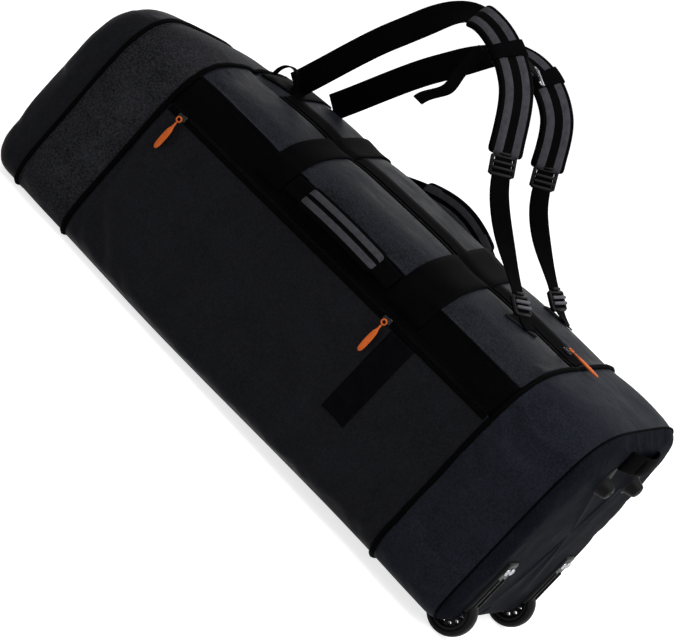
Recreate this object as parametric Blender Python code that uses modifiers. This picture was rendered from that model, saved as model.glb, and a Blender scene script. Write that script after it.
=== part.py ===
"""Rolling duffel bag lying flat on its base: sewn shell, zipped lid with harness, handles and two wheels.

Metres, +Z up. +X runs to the wheel end, -Y is the near side. Stations along the bag are measured from the
head face and shifted so that the origin is at the middle of the bag's length, on the floor.
"""
import math

import bmesh
import bpy
from mathutils import Matrix, Vector

# Body
BODY_LENGTH = 0.845
HALF_WIDTH = 0.170
BELLY_HEIGHT = 0.140
CREST_HEAD = 0.262
CREST_SWELL = 0.042
CREST_RUN = 0.090
CREST_SLOPE = 0.044
DECK_LEAN = 0.08
BASE_RISE = 0.012
RISE_START = 0.250
RISE_END = 0.715
TOP_POWER = 4.5
BASE_POWER = 7.0
BASE_FLAT = 0.003
HEAD_ROUND = 0.035
END_ROUND = 0.030
WALL = 0.003
GAP = 0.0003
SEAT = 0.0006
SEAM_GAP = 0.0008
MERGE = 0.00002

# Seams, as stations from the head face or angles round the girth
CAP_SEAM = 0.044
BAND_SEAM = 0.140
GUSSET_SEAM = 0.715
END_SEAM = 0.810
BASE_ANGLE = math.radians(17)
BASE_SEAM = math.radians(0.35)
BOARD_ANGLE = math.radians(12)
ZIP_HEAD = 0.224
ZIP_SLOPE = 0.030
HINGE_HEIGHT = 0.238
BAND_HEIGHT = 0.047
LID_CLEARANCE = 0.0008
ZIP_TAPE_WIDTH = 0.007
ZIP_TAPE_THICK = 0.0015
BOARD_THICK = 0.003
END_BOARD_HALF_WIDTH = 0.110
END_BOARD_LOW = 0.110
END_BOARD_HIGH = 0.280

# Webbing on the lid and the near side
WEBBING = 0.038
WEBBING_THICK = 0.0022
STRAP_A_STATION = 0.305
STRAP_B_STATION = 0.545
STRAP_B_WIDTH = 0.060
STRAP_DROP = 0.015
LEG_STATION = 0.572
LEG_LOW = 0.105
LID_ZIP_SIDE = -0.020
LID_ZIP_HALF = 0.005
LID_ZIP_THICK = 0.0016
YOKE_LENGTH = 0.060
YOKE_NEAR = 0.000
YOKE_FAR = 0.125
YOKE_THICK = 0.002

# Sliders and pulls
SLIDER_LENGTH = 0.012
SLIDER_WIDTH = 0.008
SLIDER_THICK = 0.005
SLIDER_SEAT = 0.0008
SIDE_SLIDER_1 = 0.168
SIDE_SLIDER_2 = 0.541
LID_SLIDER = 0.692
PULL_LENGTH = 0.052
PULL_WIDTH = 0.009
PULL_NECK = 0.0035
PULL_THICK = 0.003
PULL_PIN = 0.0008

# Carry handles
HANDLE_CLEARANCE = 0.003
HANDLE_WIDTH = 0.026
HANDLE_THICK = 0.003
HANDLE_BOW = 0.0115
HANDLE_SEAT = 0.0018
FAR_HANDLE_LIFT = 0.027
GRIP_LENGTH = 0.128
GRIP_PAD = 0.004
LOOP_CORNER = 0.12
HEAD_HANDLE_REACH = 0.022
HEAD_HANDLE_SPAN = 0.190
HEAD_HANDLE_HEIGHT = 0.135
END_HANDLE_REACH = 0.017
END_HANDLE_SPAN = 0.110
END_HANDLE_HEIGHT = 0.304
END_HANDLE_WIDTH = 0.030
FOOT_CLEARANCE = 0.012
LOOP_SPAN = 0.034
LOOP_RISE = 0.024
LOOP_WIDTH = 0.014
LOOP_THICK = 0.002
LOOP_STATION = 0.163
LOOP_SIDE = 0.020

# Harness
NEAR_ROOT_STATION = 0.172
NEAR_ROOT_SIDE = 0.045
FAR_ROOT_STATION = 0.212
NEAR_APEX_STATION = 0.305
NEAR_APEX_HEIGHT = 0.552
FAR_APEX_STATION = 0.352
FAR_APEX_HEIGHT = 0.536
NEAR_FOOT_STATION = 0.640
FAR_FOOT_STATION = 0.628
NEAR_STRAP_MARGIN = 0.115
FAR_STRAP_MARGIN = 0.070
ARCH_LEAN = 0.020
ROOT_RISE = 0.0104
FOOT_RISE = 0.0100
FOOT_LAP = 0.006
UPPER_WIDTH = 0.038
PAD_WIDTH = 0.050
PAD_THICK = 0.011
LOWER_WIDTH = 0.025
STRAP_THICK = 0.0024
PAD_START = 0.40
PAD_END = 0.70
BUCKLE_SHARE = 0.035
STRAP_JOIN = 0.0009
BUCKLE_WIDTH = 0.034
BUCKLE_THICK = 0.007
UPPER_TURN = math.radians(8)
PAD_TURN = math.radians(38)
LOWER_TURN = math.radians(25)
FOOT_TURN = math.radians(78)
TAB_LENGTH = 0.034
TAB_WIDTH = 0.046
TAB_THICK = 0.002
STERNUM_SHARE = 0.50
STERNUM_WIDTH = 0.020
STERNUM_THICK = 0.002
KEEPER_THICK = 0.002
KEEPER_SEAT = 0.0009
RING_LENGTH = 0.010
RING_BAR = 0.0025
TAIL_LENGTH = 0.105
TAIL_SWAY = 0.012

# Wheels and housings
WHEEL_INSET = 0.013
WHEEL_RADIUS = 0.032
WHEEL_WIDTH = 0.024
WHEEL_SIDE = 0.112
TYRE_INNER = 0.0240
TYRE_CROWN = 0.001
HUB_RECESS = 0.001
HUB_BORE = 0.0063
HUB_BOSS = 0.0110
HUB_RIM = 0.0190
HUB_WEB = 0.006
HUB_HOLES = 10
HUB_HOLE = 0.0026
AXLE_RADIUS = 0.004
AXLE_SEAT = 0.007
WELL_CLEARANCE = 0.003
HOUSING_BACK = 0.056
HOUSING_FRONT = 0.018
HOUSING_SIDE = 0.026
HOUSING_FLOOR = 0.018
HOUSING_TOP = 0.086
HOUSING_BEVEL = 0.008
HOUSING_CORNER = 0.0085
FLANGE_HEIGHT = 0.045
FLANGE_HALF = 0.032
FLANGE_THICK = 0.003
FOOT_RADIUS = 0.015
FOOT_TIP = 0.009
FOOT_REACH = 0.018
FOOT_SIDE = 0.062

WHEEL_STATION = BODY_LENGTH - WHEEL_INSET
FOOT_HEIGHT = END_HANDLE_HEIGHT - END_HANDLE_WIDTH / 2 - FOOT_RADIUS - FOOT_CLEARANCE
FAR_STRAP_SIDE = HALF_WIDTH - FAR_STRAP_MARGIN
NEAR_FOOT_SIDE = NEAR_STRAP_MARGIN - HALF_WIDTH
MIDDLE = (WHEEL_STATION + WHEEL_RADIUS - HEAD_HANDLE_REACH) / 2
NEAR = 1
FAR = -1


def finish(name, colour, roughness, metallic=0.0):
    """Principled material for one kind of piece."""
    material = bpy.data.materials.new(name)
    material.use_nodes = True
    shader = material.node_tree.nodes["Principled BSDF"]
    shader.inputs["Base Color"].default_value = (*colour, 1.0)
    shader.inputs["Roughness"].default_value = roughness
    shader.inputs["Metallic"].default_value = metallic
    return material


def clear_scene():
    for obj in list(bpy.data.objects):
        bpy.data.objects.remove(obj, do_unlink=True)


def collection(name):
    group = bpy.data.collections.new(name)
    bpy.context.scene.collection.children.link(group)
    return group


clear_scene()
PARTS = collection("rolling_duffel_bag")
CUTTERS = collection("cutters")
POLYESTER = finish("coated_polyester", (0.009, 0.009, 0.012), 0.62)
HEATHER = finish("heather_polyester", (0.021, 0.021, 0.026), 0.75)
LID_CLOTH = finish("lid_polyester", (0.028, 0.028, 0.036), 0.55)
BLACK_WEB = finish("black_webbing", (0.004, 0.004, 0.005), 0.7)
GREY_MESH = finish("grey_spacer_mesh", (0.065, 0.065, 0.073), 0.8)
ORANGE = finish("orange_rubber", (0.62, 0.12, 0.02), 0.45)
BLACK_PLASTIC = finish("black_plastic", (0.006, 0.006, 0.007), 0.4)
RUBBER = finish("wheel_rubber", (0.008, 0.008, 0.009), 0.6)
STEEL = finish("bright_steel", (0.62, 0.62, 0.64), 0.28, 1.0)
BOARD = finish("stiffener_board", (0.05, 0.05, 0.055), 0.6)


def world(station, y, z):
    """A place given by its station along the bag."""
    return Vector((station - MIDDLE, y, z))


def ramp(value):
    """Smooth step from 0 to 1."""
    value = min(max(value, 0.0), 1.0)
    return value * value * (3 - 2 * value)


def base_height(station):
    return BASE_RISE * ramp((station - RISE_START) / (RISE_END - RISE_START))


def crest_height(station):
    return CREST_HEAD + CREST_SWELL * (1 - math.exp(-station / CREST_RUN)) + CREST_SLOPE * station


def corner_inset(station):
    """How far the section draws in where the two ends are rounded."""
    for depth, radius in ((station, HEAD_ROUND), (BODY_LENGTH - station, END_ROUND)):
        if depth < radius:
            return radius - math.sqrt(max(radius ** 2 - (radius - max(depth, 0.0)) ** 2, 0.0))
    return 0.0


def skin(station, angle, out=0.0):
    """Point on the bag's outer skin. Angle 0 is the base, 90 degrees the near side and 180 the crest."""
    inset = corner_inset(station) - out
    half = HALF_WIDTH - inset
    across, up = math.sin(angle), -math.cos(angle)
    if up < 0:
        drop = BELLY_HEIGHT - base_height(station) - inset
        reach = abs(across) ** (2 / BASE_POWER)
        z = BELLY_HEIGHT - min((drop + BASE_FLAT) * abs(up) ** (2 / BASE_POWER), drop)
        y = -math.copysign(half * reach, across)
    else:
        rise = crest_height(station) - inset - BELLY_HEIGHT
        reach = abs(across) ** (2 / TOP_POWER)
        share = abs(up) ** (2 / TOP_POWER)
        y = -math.copysign(half * reach, across)
        z = BELLY_HEIGHT + rise * share + DECK_LEAN * y * share ** 2
    return world(station, y, z)


def angle_at(station, height, side):
    """Girth angle where the upper side of the skin is at a height, on the near or far side."""
    low, high = math.radians(90), math.radians(150)
    for _ in range(40):
        middle = (low + high) / 2
        if skin(station, side * middle).z < height:
            low = middle
        else:
            high = middle
    return side * (low + high) / 2


def deck(station, y, out=0.0):
    """Point on the top of the bag at a distance y from its middle line."""
    half = HALF_WIDTH + out
    across = min(abs(y) / half, 1.0) ** (TOP_POWER / 2)
    return skin(station, math.pi + math.copysign(math.asin(across), y), out)


def zip_height(station, side):
    return ZIP_HEAD + ZIP_SLOPE * station if side == NEAR else HINGE_HEIGHT


def zip_angle(station, side, above=0.0):
    return angle_at(station, zip_height(station, side) + above, side)


def turn(angle):
    """Angle on the far side, counted on from the near side past the crest."""
    return angle + 2 * math.pi if angle < 0 else angle


def between(a, b, share):
    return a + (b - a) * share


def add(name, mesh, material):
    obj = bpy.data.objects.new(name, mesh)
    obj.data.materials.append(material)
    PARTS.objects.link(obj)
    return obj


def solidify(obj, thickness, side):
    """Gives an open sheet its thickness: side -1 is inward, 0 both ways and 1 outward."""
    modifier = obj.modifiers.new("Thickness", "SOLIDIFY")
    modifier.thickness = thickness
    modifier.offset = side


def sheet(name, place, rows, columns, thickness, side, material, origin=None):
    """Closed panel from a grid put in place by place(u, v) and thickened."""
    shape = bmesh.new()
    bmesh.ops.create_grid(shape, x_segments=rows, y_segments=columns, size=0.5)
    shift = origin if origin else Vector((0, 0, 0))
    for vert in shape.verts:
        vert.co = place(vert.co.x + 0.5, vert.co.y + 0.5) - shift
    bmesh.ops.remove_doubles(shape, verts=shape.verts, dist=MERGE)
    mesh = bpy.data.meshes.new(name)
    shape.to_mesh(mesh)
    shape.free()
    obj = add(name, mesh, material)
    obj.location = shift
    solidify(obj, thickness, side)
    for face in mesh.polygons:
        face.use_smooth = True
    return obj


def girth(name, start, end, low, high, rows, columns, material, out=0.0, thickness=WALL, side=-1,
          origin=None):
    """Sewn panel between two stations and two girth angles, which may depend on the station."""
    low_at = low if callable(low) else (lambda station: low)
    high_at = high if callable(high) else (lambda station: high)

    def place(u, v):
        station = between(start, end, u)
        return skin(station, between(low_at(station), high_at(station), v), out)

    return sheet(name, place, rows, columns, thickness, side, material, origin)


def ribbon(name, points, directions, width, thickness, material, origin=None, columns=1):
    """Flat strap along points, as wide as width along each direction."""
    last = len(points) - 1

    def place(u, v):
        index = round(u * last)
        return points[index] + directions[index] * width * (v - 0.5)

    return sheet(name, place, last, columns, thickness, 0, material, origin)


def cutter(name, mesh, matrix):
    obj = bpy.data.objects.new(name, mesh)
    obj.matrix_world = matrix
    obj.hide_render = True
    obj.display_type = "WIRE"
    CUTTERS.objects.link(obj)
    return obj


def boolean(obj, tool, operation="DIFFERENCE"):
    modifier = obj.modifiers.new(tool.name, "BOOLEAN")
    modifier.object = tool
    modifier.operation = operation
    modifier.solver = "EXACT"


def box_mesh(name, low, high, bevel=0.0):
    shape = bmesh.new()
    bmesh.ops.create_cube(shape, size=1.0)
    size, middle = high - low, (high + low) / 2
    for vert in shape.verts:
        vert.co = Vector((vert.co.x * size.x, vert.co.y * size.y, vert.co.z * size.z)) + middle
    if bevel:
        bmesh.ops.bevel(shape, geom=shape.edges[:], offset=bevel, affect="EDGES", segments=2, profile=0.5,
                        material=-1)
    mesh = bpy.data.meshes.new(name)
    shape.to_mesh(mesh)
    shape.free()
    return mesh


def rod_mesh(name, radius, length, sides, tip=None):
    """Cylinder or cone along Z, centred on the origin."""
    shape = bmesh.new()
    bmesh.ops.create_cone(shape, cap_ends=True, segments=sides, radius1=radius,
                          radius2=radius if tip is None else tip, depth=length)
    mesh = bpy.data.meshes.new(name)
    shape.to_mesh(mesh)
    shape.free()
    return mesh


def turned(name, outline, steps, material, place):
    """Ring turned from a closed outline of (radius, height) points, outer side first and running down."""
    shape = bmesh.new()
    verts = [shape.verts.new((radius, 0, height)) for radius, height in outline]
    for first, second in zip(verts, verts[1:] + verts[:1]):
        shape.edges.new((first, second))
    mesh = bpy.data.meshes.new(name)
    shape.to_mesh(mesh)
    shape.free()
    obj = add(name, mesh, material)
    obj.matrix_world = place
    screw = obj.modifiers.new("Turn", "SCREW")
    screw.axis = "Z"
    screw.steps = steps
    screw.render_steps = steps
    screw.use_merge_vertices = True
    screw.merge_threshold = MERGE
    return obj


def shell_panels():
    """Head cap, heather band, side and base panels, wheel-end gusset and panel."""
    face_rows = (0.0, 0.34, 0.67, 1.0)
    turn_rows = 4

    def cap_stations(radius, reach):
        arc = [radius * (1 - math.cos(math.pi / 2 * step / turn_rows)) for step in range(1, turn_rows + 1)]
        return [depth for depth in arc if depth < reach - GAP] + [reach]

    def cup(name, face, radius, reach, sign, material):
        depths = cap_stations(radius, reach)
        rows = len(face_rows) - 1 + len(depths)
        middle = world(face, 0, (base_height(face) + crest_height(face)) / 2)

        def place(u, v):
            row = round(u * rows) if sign > 0 else rows - round(u * rows)
            angle = between(-math.pi, math.pi, v)
            if row < len(face_rows):
                return middle + (skin(face, angle) - middle) * face_rows[row]
            return skin(face + sign * depths[row - len(face_rows)], angle)

        return sheet(name, place, rows, 40, WALL, -1, material)

    cup("head_end_cap", 0.0, HEAD_ROUND, CAP_SEAM - SEAM_GAP / 2, 1, POLYESTER)
    girth("head_pocket_band", CAP_SEAM + SEAM_GAP / 2, BAND_SEAM - SEAM_GAP, -math.pi, math.pi, 4, 40,
          HEATHER)
    base_edge = BASE_ANGLE - BASE_SEAM
    girth("bottom_panel", BAND_SEAM, GUSSET_SEAM - SEAM_GAP, -base_edge, base_edge, 10, 8, POLYESTER)
    for side, name in ((NEAR, "near_side_panel"), (FAR, "far_side_panel")):
        def top(station, side=side):
            return zip_angle(station, side, -LID_CLEARANCE / 2)
        low, high = (BASE_ANGLE, top) if side == NEAR else (top, -BASE_ANGLE)
        girth(name, BAND_SEAM, GUSSET_SEAM - SEAM_GAP, low, high, 10, 16, POLYESTER)
    gusset = girth("wheel_end_gusset", GUSSET_SEAM, END_SEAM - SEAM_GAP / 2, -math.pi, math.pi, 3, 40,
                   LID_CLOTH)
    depth = BODY_LENGTH - END_SEAM - SEAM_GAP / 2
    panel = cup("wheel_end_panel", BODY_LENGTH, END_ROUND, depth, -1, LID_CLOTH)
    for side, name in ((NEAR, "near_housing_cut"), (FAR, "far_housing_cut")):
        low, high = housing_box(side, GAP)
        high.x = world(BODY_LENGTH + WALL, 0, 0).x
        low.z = -WALL
        tool = cutter(name, box_mesh(name, low, high), Matrix())
        boolean(gusset, tool)
        boolean(panel, tool)


def stiffeners():
    """Boards that hold the base and the wheel end flat."""
    girth("base_board", BAND_SEAM + WALL, GUSSET_SEAM - WALL, -BOARD_ANGLE, BOARD_ANGLE, 10, 6, BOARD,
          -WALL - SEAT, BOARD_THICK, -1)
    inner = BODY_LENGTH - WALL - SEAT
    low = world(inner - BOARD_THICK, -END_BOARD_HALF_WIDTH, END_BOARD_LOW)
    high = world(inner, END_BOARD_HALF_WIDTH, END_BOARD_HIGH)
    add("wheel_end_board", box_mesh("wheel_end_board", low, high), BOARD)


def lid_hinge():
    """Middle of the lid's fold, on the outer skin of the far side."""
    reach = max(skin(station, zip_angle(station, FAR)).y for station in (BAND_SEAM, GUSSET_SEAM))
    return Vector((0, reach + GAP, HINGE_HEIGHT))


def lid_panels(hinge):
    """Lid panel between two black shoulder bands."""
    start, end = BAND_SEAM + LID_CLEARANCE, GUSSET_SEAM - LID_CLEARANCE
    for side, name in ((NEAR, "near_shoulder_band"), (FAR, "far_shoulder_band")):
        def low(station, side=side):
            return zip_angle(station, side, LID_CLEARANCE / 2)

        def high(station, side=side):
            return zip_angle(station, side, BAND_HEIGHT - SEAM_GAP / 2)
        first, second = (low, high) if side == NEAR else (high, low)
        girth(name, start, end, first, second, 10, 6, BLACK_WEB, origin=hinge)
    girth("lid_panel", start, end, lambda s: zip_angle(s, NEAR, BAND_HEIGHT + SEAM_GAP / 2),
          lambda s: turn(zip_angle(s, FAR, BAND_HEIGHT + SEAM_GAP / 2)), 12, 22, LID_CLOTH, origin=hinge)


def lid_trim(hinge):
    """Pocket zip, webbing bands, yoke and hang loop sewn on the lid."""
    def tape(u, v):
        station = between(BAND_SEAM + YOKE_LENGTH, GUSSET_SEAM - LID_CLEARANCE, u)
        return deck(station, LID_ZIP_SIDE + LID_ZIP_HALF * (2 * v - 1), SEAT)

    sheet("lid_zip_tape", tape, 12, 1, LID_ZIP_THICK, 1, BLACK_WEB, hinge)
    over_zip = SEAT + LID_ZIP_THICK + SEAT
    bands = (("lid_strap_a", STRAP_A_STATION, WEBBING), ("lid_strap_b", STRAP_B_STATION, STRAP_B_WIDTH))
    for name, station, width in bands:
        girth(name, station - width / 2, station + width / 2, lambda s: zip_angle(s, NEAR, STRAP_DROP),
              lambda s: turn(zip_angle(s, FAR, STRAP_DROP)), 2, 30, BLACK_WEB, over_zip, WEBBING_THICK, 1,
              hinge)

    def yoke(u, v):
        station = between(BAND_SEAM + 2 * LID_CLEARANCE, BAND_SEAM + YOKE_LENGTH - GAP, u)
        return deck(station, between(YOKE_NEAR, YOKE_FAR, v), SEAT)

    sheet("harness_yoke", yoke, 3, 6, YOKE_THICK, 1, BLACK_WEB, hinge)
    steps = 10
    foot = deck(LOOP_STATION, LOOP_SIDE, 2 * SEAT + YOKE_THICK + LOOP_THICK)
    points = []
    for step in range(steps + 1):
        swing = math.pi * step / steps
        points.append(foot + Vector((-LOOP_SPAN / 2 * math.cos(swing), 0, LOOP_RISE * math.sin(swing))))
    ribbon("hang_loop", points, [Vector((0, 1, 0))] * len(points), LOOP_WIDTH, LOOP_THICK, BLACK_WEB, hinge)


def near_zip():
    """Zip tape and sewn webbing leg on the near side."""
    girth("near_zip_tape", BAND_SEAM + LID_CLEARANCE, GUSSET_SEAM - LID_CLEARANCE,
          lambda s: zip_angle(s, NEAR, -LID_CLEARANCE - ZIP_TAPE_WIDTH),
          lambda s: zip_angle(s, NEAR, -LID_CLEARANCE), 10, 1, BLACK_WEB, SEAT, ZIP_TAPE_THICK, 1)
    low, high = LEG_STATION - WEBBING / 2, LEG_STATION + WEBBING / 2

    def leg(u, v):
        station = between(low, high, u)
        top = zip_height(station, NEAR) - ZIP_TAPE_WIDTH - 2 * LID_CLEARANCE
        height = between(LEG_LOW, top, v)
        if height > BELLY_HEIGHT:
            return skin(station, angle_at(station, height, NEAR), SEAT)
        drop = BELLY_HEIGHT - base_height(station) + BASE_FLAT
        across = 1 - ((BELLY_HEIGHT - height) / drop) ** BASE_POWER
        return world(station, -(HALF_WIDTH + SEAT) * across ** (1 / BASE_POWER), height)

    sheet("side_webbing_leg", leg, 2, 8, WEBBING_THICK, 1, BLACK_WEB)


def pull_width(share):
    """Half width of a zip pull along its length: eye, thin neck, long grip."""
    eye = PULL_WIDTH / 2 * (1 - ramp((share - 0.12) / 0.12))
    grip = PULL_WIDTH / 2 * ramp((share - 0.30) / 0.14)
    end = math.sqrt(max(1 - max((share - 0.88) / 0.12, 0.0) ** 2 * 0.75, 0.0))
    return max(PULL_NECK / 2, eye, grip * end)


def sliders_and_pulls(hinge):
    """Three zip sliders, each with an orange pull that turns on a pin at its eye end."""
    out = SEAT + ZIP_TAPE_THICK + SLIDER_SEAT
    for number, station in ((1, SIDE_SLIDER_1), (2, SIDE_SLIDER_2)):
        middle = -LID_CLEARANCE - ZIP_TAPE_WIDTH / 2
        seat = skin(station, zip_angle(station, NEAR, middle), out)
        girth(f"side_slider_{number}", station - SLIDER_LENGTH / 2, station + SLIDER_LENGTH / 2,
              lambda s: zip_angle(s, NEAR, middle - SLIDER_WIDTH / 2),
              lambda s: zip_angle(s, NEAR, middle + SLIDER_WIDTH / 2),
              2, 2, STEEL, out, SLIDER_THICK, 1, seat)
        eye = seat + Vector((0, -SLIDER_THICK - PULL_THICK / 2 - SLIDER_SEAT, 0))

        def hang(u, v):
            return eye + Vector((2 * pull_width(v) * (u - 0.5), 0, PULL_PIN - PULL_LENGTH * v))

        sheet(f"side_pull_{number}", hang, 4, 24, PULL_THICK, 0, ORANGE, eye)
    seat = deck(LID_SLIDER, LID_ZIP_SIDE, SEAT + LID_ZIP_THICK + SLIDER_SEAT)

    def block(u, v):
        station = between(LID_SLIDER - SLIDER_LENGTH / 2, LID_SLIDER + SLIDER_LENGTH / 2, u)
        return deck(station, LID_ZIP_SIDE + SLIDER_WIDTH * (v - 0.5), SEAT + LID_ZIP_THICK + SLIDER_SEAT)

    sheet("lid_slider", block, 2, 2, SLIDER_THICK, 1, STEEL, seat)
    eye = seat + Vector((0, 0, SLIDER_THICK + PULL_THICK / 2 + SLIDER_SEAT))

    def lie(u, v):
        return eye + Vector((PULL_LENGTH * u - PULL_PIN, 2 * pull_width(u) * (v - 0.5), 0))

    sheet("lid_pull", lie, 24, 4, PULL_THICK, 0, ORANGE, eye)


def loop(share):
    """Point on a unit square loop with softened corners."""
    angle = 2 * math.pi * share
    across, out = math.sin(angle), math.cos(angle)
    return math.copysign(abs(across) ** LOOP_CORNER, across), math.copysign(abs(out) ** LOOP_CORNER, out)


def sleeve(name, centre, along, across, length, material, origin):
    """Padded wrap round a flat handle: a tube with room for the webbing inside."""
    wide, deep = HANDLE_WIDTH / 2 + SEAT, HANDLE_THICK / 2 + SEAT

    def place(u, v):
        share = length * (u - 0.5)
        middle, outward, girthwise = centre(share), along(share), across(share)
        side, face = loop(v)
        return middle + girthwise * wide * side + outward * deep * face

    return sheet(name, place, 8, 16, GRIP_PAD, 1, material, origin)


def handle_span():
    """Stations between which a carry handle lies, clear of the two webbing bands."""
    start = STRAP_A_STATION + WEBBING / 2 + HANDLE_CLEARANCE
    return start, STRAP_B_STATION - STRAP_B_WIDTH / 2 - HANDLE_CLEARANCE


def near_handle():
    """Near carry handle, lying on the near shoulder band and turning up about its upper edge."""
    start, end = handle_span()
    middle = (start + end) / 2
    top = zip_angle(middle, NEAR, BAND_HEIGHT)
    drop = zip_angle(middle, NEAR, BAND_HEIGHT - HANDLE_WIDTH)
    origin = skin(middle, top, HANDLE_SEAT)
    low_edge = skin(middle, drop, HANDLE_SEAT)
    width = (origin - low_edge).normalized()
    face = Vector((0, -width.z, width.y))

    def centre(shift):
        share = (shift + middle - start) / (end - start)
        out = HANDLE_THICK / 2 + HANDLE_BOW * math.sin(math.pi * share)
        below = HANDLE_WIDTH / 2 + SEAT + GRIP_PAD
        return origin - width * below + face * out + Vector((shift, 0, ZIP_SLOPE * shift))

    steps = 16
    points = [centre(between(start - middle, end - middle, step / steps)) for step in range(steps + 1)]
    across = [width] * len(points)
    ribbon("near_handle_webbing", points, across, HANDLE_WIDTH, HANDLE_THICK, BLACK_WEB, origin)
    sleeve("near_handle_grip", centre, lambda s: face, lambda s: width, GRIP_LENGTH, GREY_MESH, origin)


def far_handle():
    """Far carry handle, standing up from the far shoulder band."""
    start, end = handle_span()
    middle = (start + end) / 2
    origin = skin(middle, zip_angle(middle, FAR, BAND_HEIGHT), HANDLE_SEAT)

    def centre(shift):
        share = (shift + middle - start) / (end - start)
        lift = HANDLE_WIDTH / 2 + FAR_HANDLE_LIFT * math.sin(math.pi * share)
        return origin + Vector((shift, HANDLE_THICK / 2, lift))

    steps = 16
    points = [centre(between(start - middle, end - middle, step / steps)) for step in range(steps + 1)]
    up, face = Vector((0, 0, 1)), Vector((0, 1, 0))
    across = [-up] * len(points)
    ribbon("far_handle_webbing", points, across, HANDLE_WIDTH, HANDLE_THICK, BLACK_WEB, origin)
    sleeve("far_handle_grip", centre, lambda s: face, lambda s: -up, GRIP_LENGTH, GREY_MESH, origin)


def end_handles():
    """Pull handle across the head face and grab handle across the wheel-end face."""
    steps = 14
    rows = (("head_pull_handle", 0.0, -1, HEAD_HANDLE_REACH, HEAD_HANDLE_SPAN, HEAD_HANDLE_HEIGHT, WEBBING),
            ("wheel_end_handle", BODY_LENGTH, 1, END_HANDLE_REACH, END_HANDLE_SPAN, END_HANDLE_HEIGHT,
             END_HANDLE_WIDTH))
    for name, face, sign, reach, span, height, width in rows:
        start = SEAT + HANDLE_THICK / 2
        origin = world(face + sign * SEAT, 0, height + width / 2)
        points = []
        for step in range(steps + 1):
            share = step / steps
            out = start + (reach - start - HANDLE_THICK / 2) * math.sin(math.pi * share) ** 0.7
            points.append(world(face + sign * out, span * (share - 0.5), height))
        ribbon(name, points, [Vector((0, 0, -sign))] * len(points), width, HANDLE_THICK, BLACK_WEB, origin)


def arch(root, apex, foot):
    """Smooth path of a shoulder strap from the yoke up over its apex and down to the lid."""
    start = deck(root.x, root.y) + Vector((0, 0, YOKE_THICK + ROOT_RISE))
    end = deck(foot.x - TAB_LENGTH / 2 + FOOT_LAP, foot.y) + Vector((0, 0, FOOT_RISE))
    top_y = between(root.y, foot.y, 0.5)
    top = world(apex.x, top_y, apex.y)
    knots = [start, between(start, top, 0.55) + Vector((-ARCH_LEAN / 2, 0, ARCH_LEAN / 2)), top,
             between(top, end, 0.26) + Vector((ARCH_LEAN, 0, 1.6 * ARCH_LEAN)),
             between(top, end, 0.60) + Vector((0, 0, -0.4 * ARCH_LEAN)), end]
    knots = [knots[0] * 2 - knots[1]] + knots + [knots[-1] * 2 - knots[-2]]
    points = []
    for index in range(1, len(knots) - 2):
        before, first, second, after = knots[index - 1:index + 3]
        for step in range(12):
            t = step / 12
            bend = 2 * before - 5 * first + 4 * second - after
            twist = 3 * first - before - 3 * second + after
            points.append(0.5 * (2 * first + (second - before) * t + bend * t ** 2 + twist * t ** 3))
    points.append(knots[-2])
    return points


class Path:
    """Strap path that can be read at any share of its length."""

    def __init__(self, points):
        self.points = points
        self.reach = [0.0]
        for first, second in zip(points, points[1:]):
            self.reach.append(self.reach[-1] + (second - first).length)
        self.length = self.reach[-1]

    def at(self, share):
        goal = min(max(share, 0.0), 1.0) * self.length
        for index in range(len(self.points) - 1):
            if self.reach[index + 1] >= goal:
                share = (goal - self.reach[index]) / (self.reach[index + 1] - self.reach[index])
                return between(self.points[index], self.points[index + 1], share)
        return self.points[-1]

    def tangent(self, share):
        return (self.at(share + 0.004) - self.at(share - 0.004)).normalized()

    def across(self, share, angle):
        """Width direction: in the plane of the arch, turned away from it by an angle."""
        along = self.tangent(share)
        outward = Vector((-along.z, 0, along.x)).normalized()
        return (outward * math.cos(angle) + Vector((0, 1, 0)) * math.sin(angle)).normalized()


def strap_turn(share):
    """How far the strap's face is turned at a share of its path."""
    rise = between(UPPER_TURN, PAD_TURN, ramp((share - 0.28) / 0.16))
    lower = between(rise, LOWER_TURN, ramp((share - 0.66) / 0.14))
    return between(lower, FOOT_TURN, ramp((share - 0.80) / 0.16))


def strap_piece(name, path, start, end, width, thickness, material, hinge, steps, columns=1):
    shares = [between(start, end, step / steps) for step in range(steps + 1)]
    points = [path.at(share) for share in shares]
    directions = [path.across(share, strap_turn(share)) for share in shares]
    return ribbon(name, points, directions, width, thickness, material, hinge, columns)


def shoulder_strap(side, path, foot, hinge):
    """One shoulder strap: upper webbing, pad, adjuster, lower webbing, ladder-lock and stitched tab."""
    slack = STRAP_JOIN / path.length
    buckle = BUCKLE_SHARE
    strap_piece(f"{side}_upper_webbing", path, 0.0, PAD_START - slack, UPPER_WIDTH, STRAP_THICK, BLACK_WEB,
                hinge, 14)
    strap_piece(f"{side}_shoulder_pad", path, PAD_START, PAD_END, PAD_WIDTH, PAD_THICK, GREY_MESH,
                hinge, 16, 2)
    strap_piece(f"{side}_adjuster", path, PAD_END + slack, PAD_END + buckle, BUCKLE_WIDTH, BUCKLE_THICK,
                BLACK_PLASTIC, hinge, 2)
    strap_piece(f"{side}_lower_webbing", path, PAD_END + buckle + slack, 1 - buckle - slack, LOWER_WIDTH,
                STRAP_THICK, BLACK_WEB, hinge, 10)
    strap_piece(f"{side}_ladder_lock", path, 1 - buckle, 1.0, BUCKLE_WIDTH, BUCKLE_THICK, BLACK_PLASTIC,
                hinge, 2)

    def tab(u, v):
        station = between(foot.x - TAB_LENGTH / 2, foot.x + TAB_LENGTH / 2, u)
        return deck(station, foot.y + TAB_WIDTH * (v - 0.5) * (1 - 0.8 * u), SEAT)

    sheet(f"{side}_strap_tab", tab, 4, 4, TAB_THICK, 1, GREY_MESH, hinge)


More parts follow.
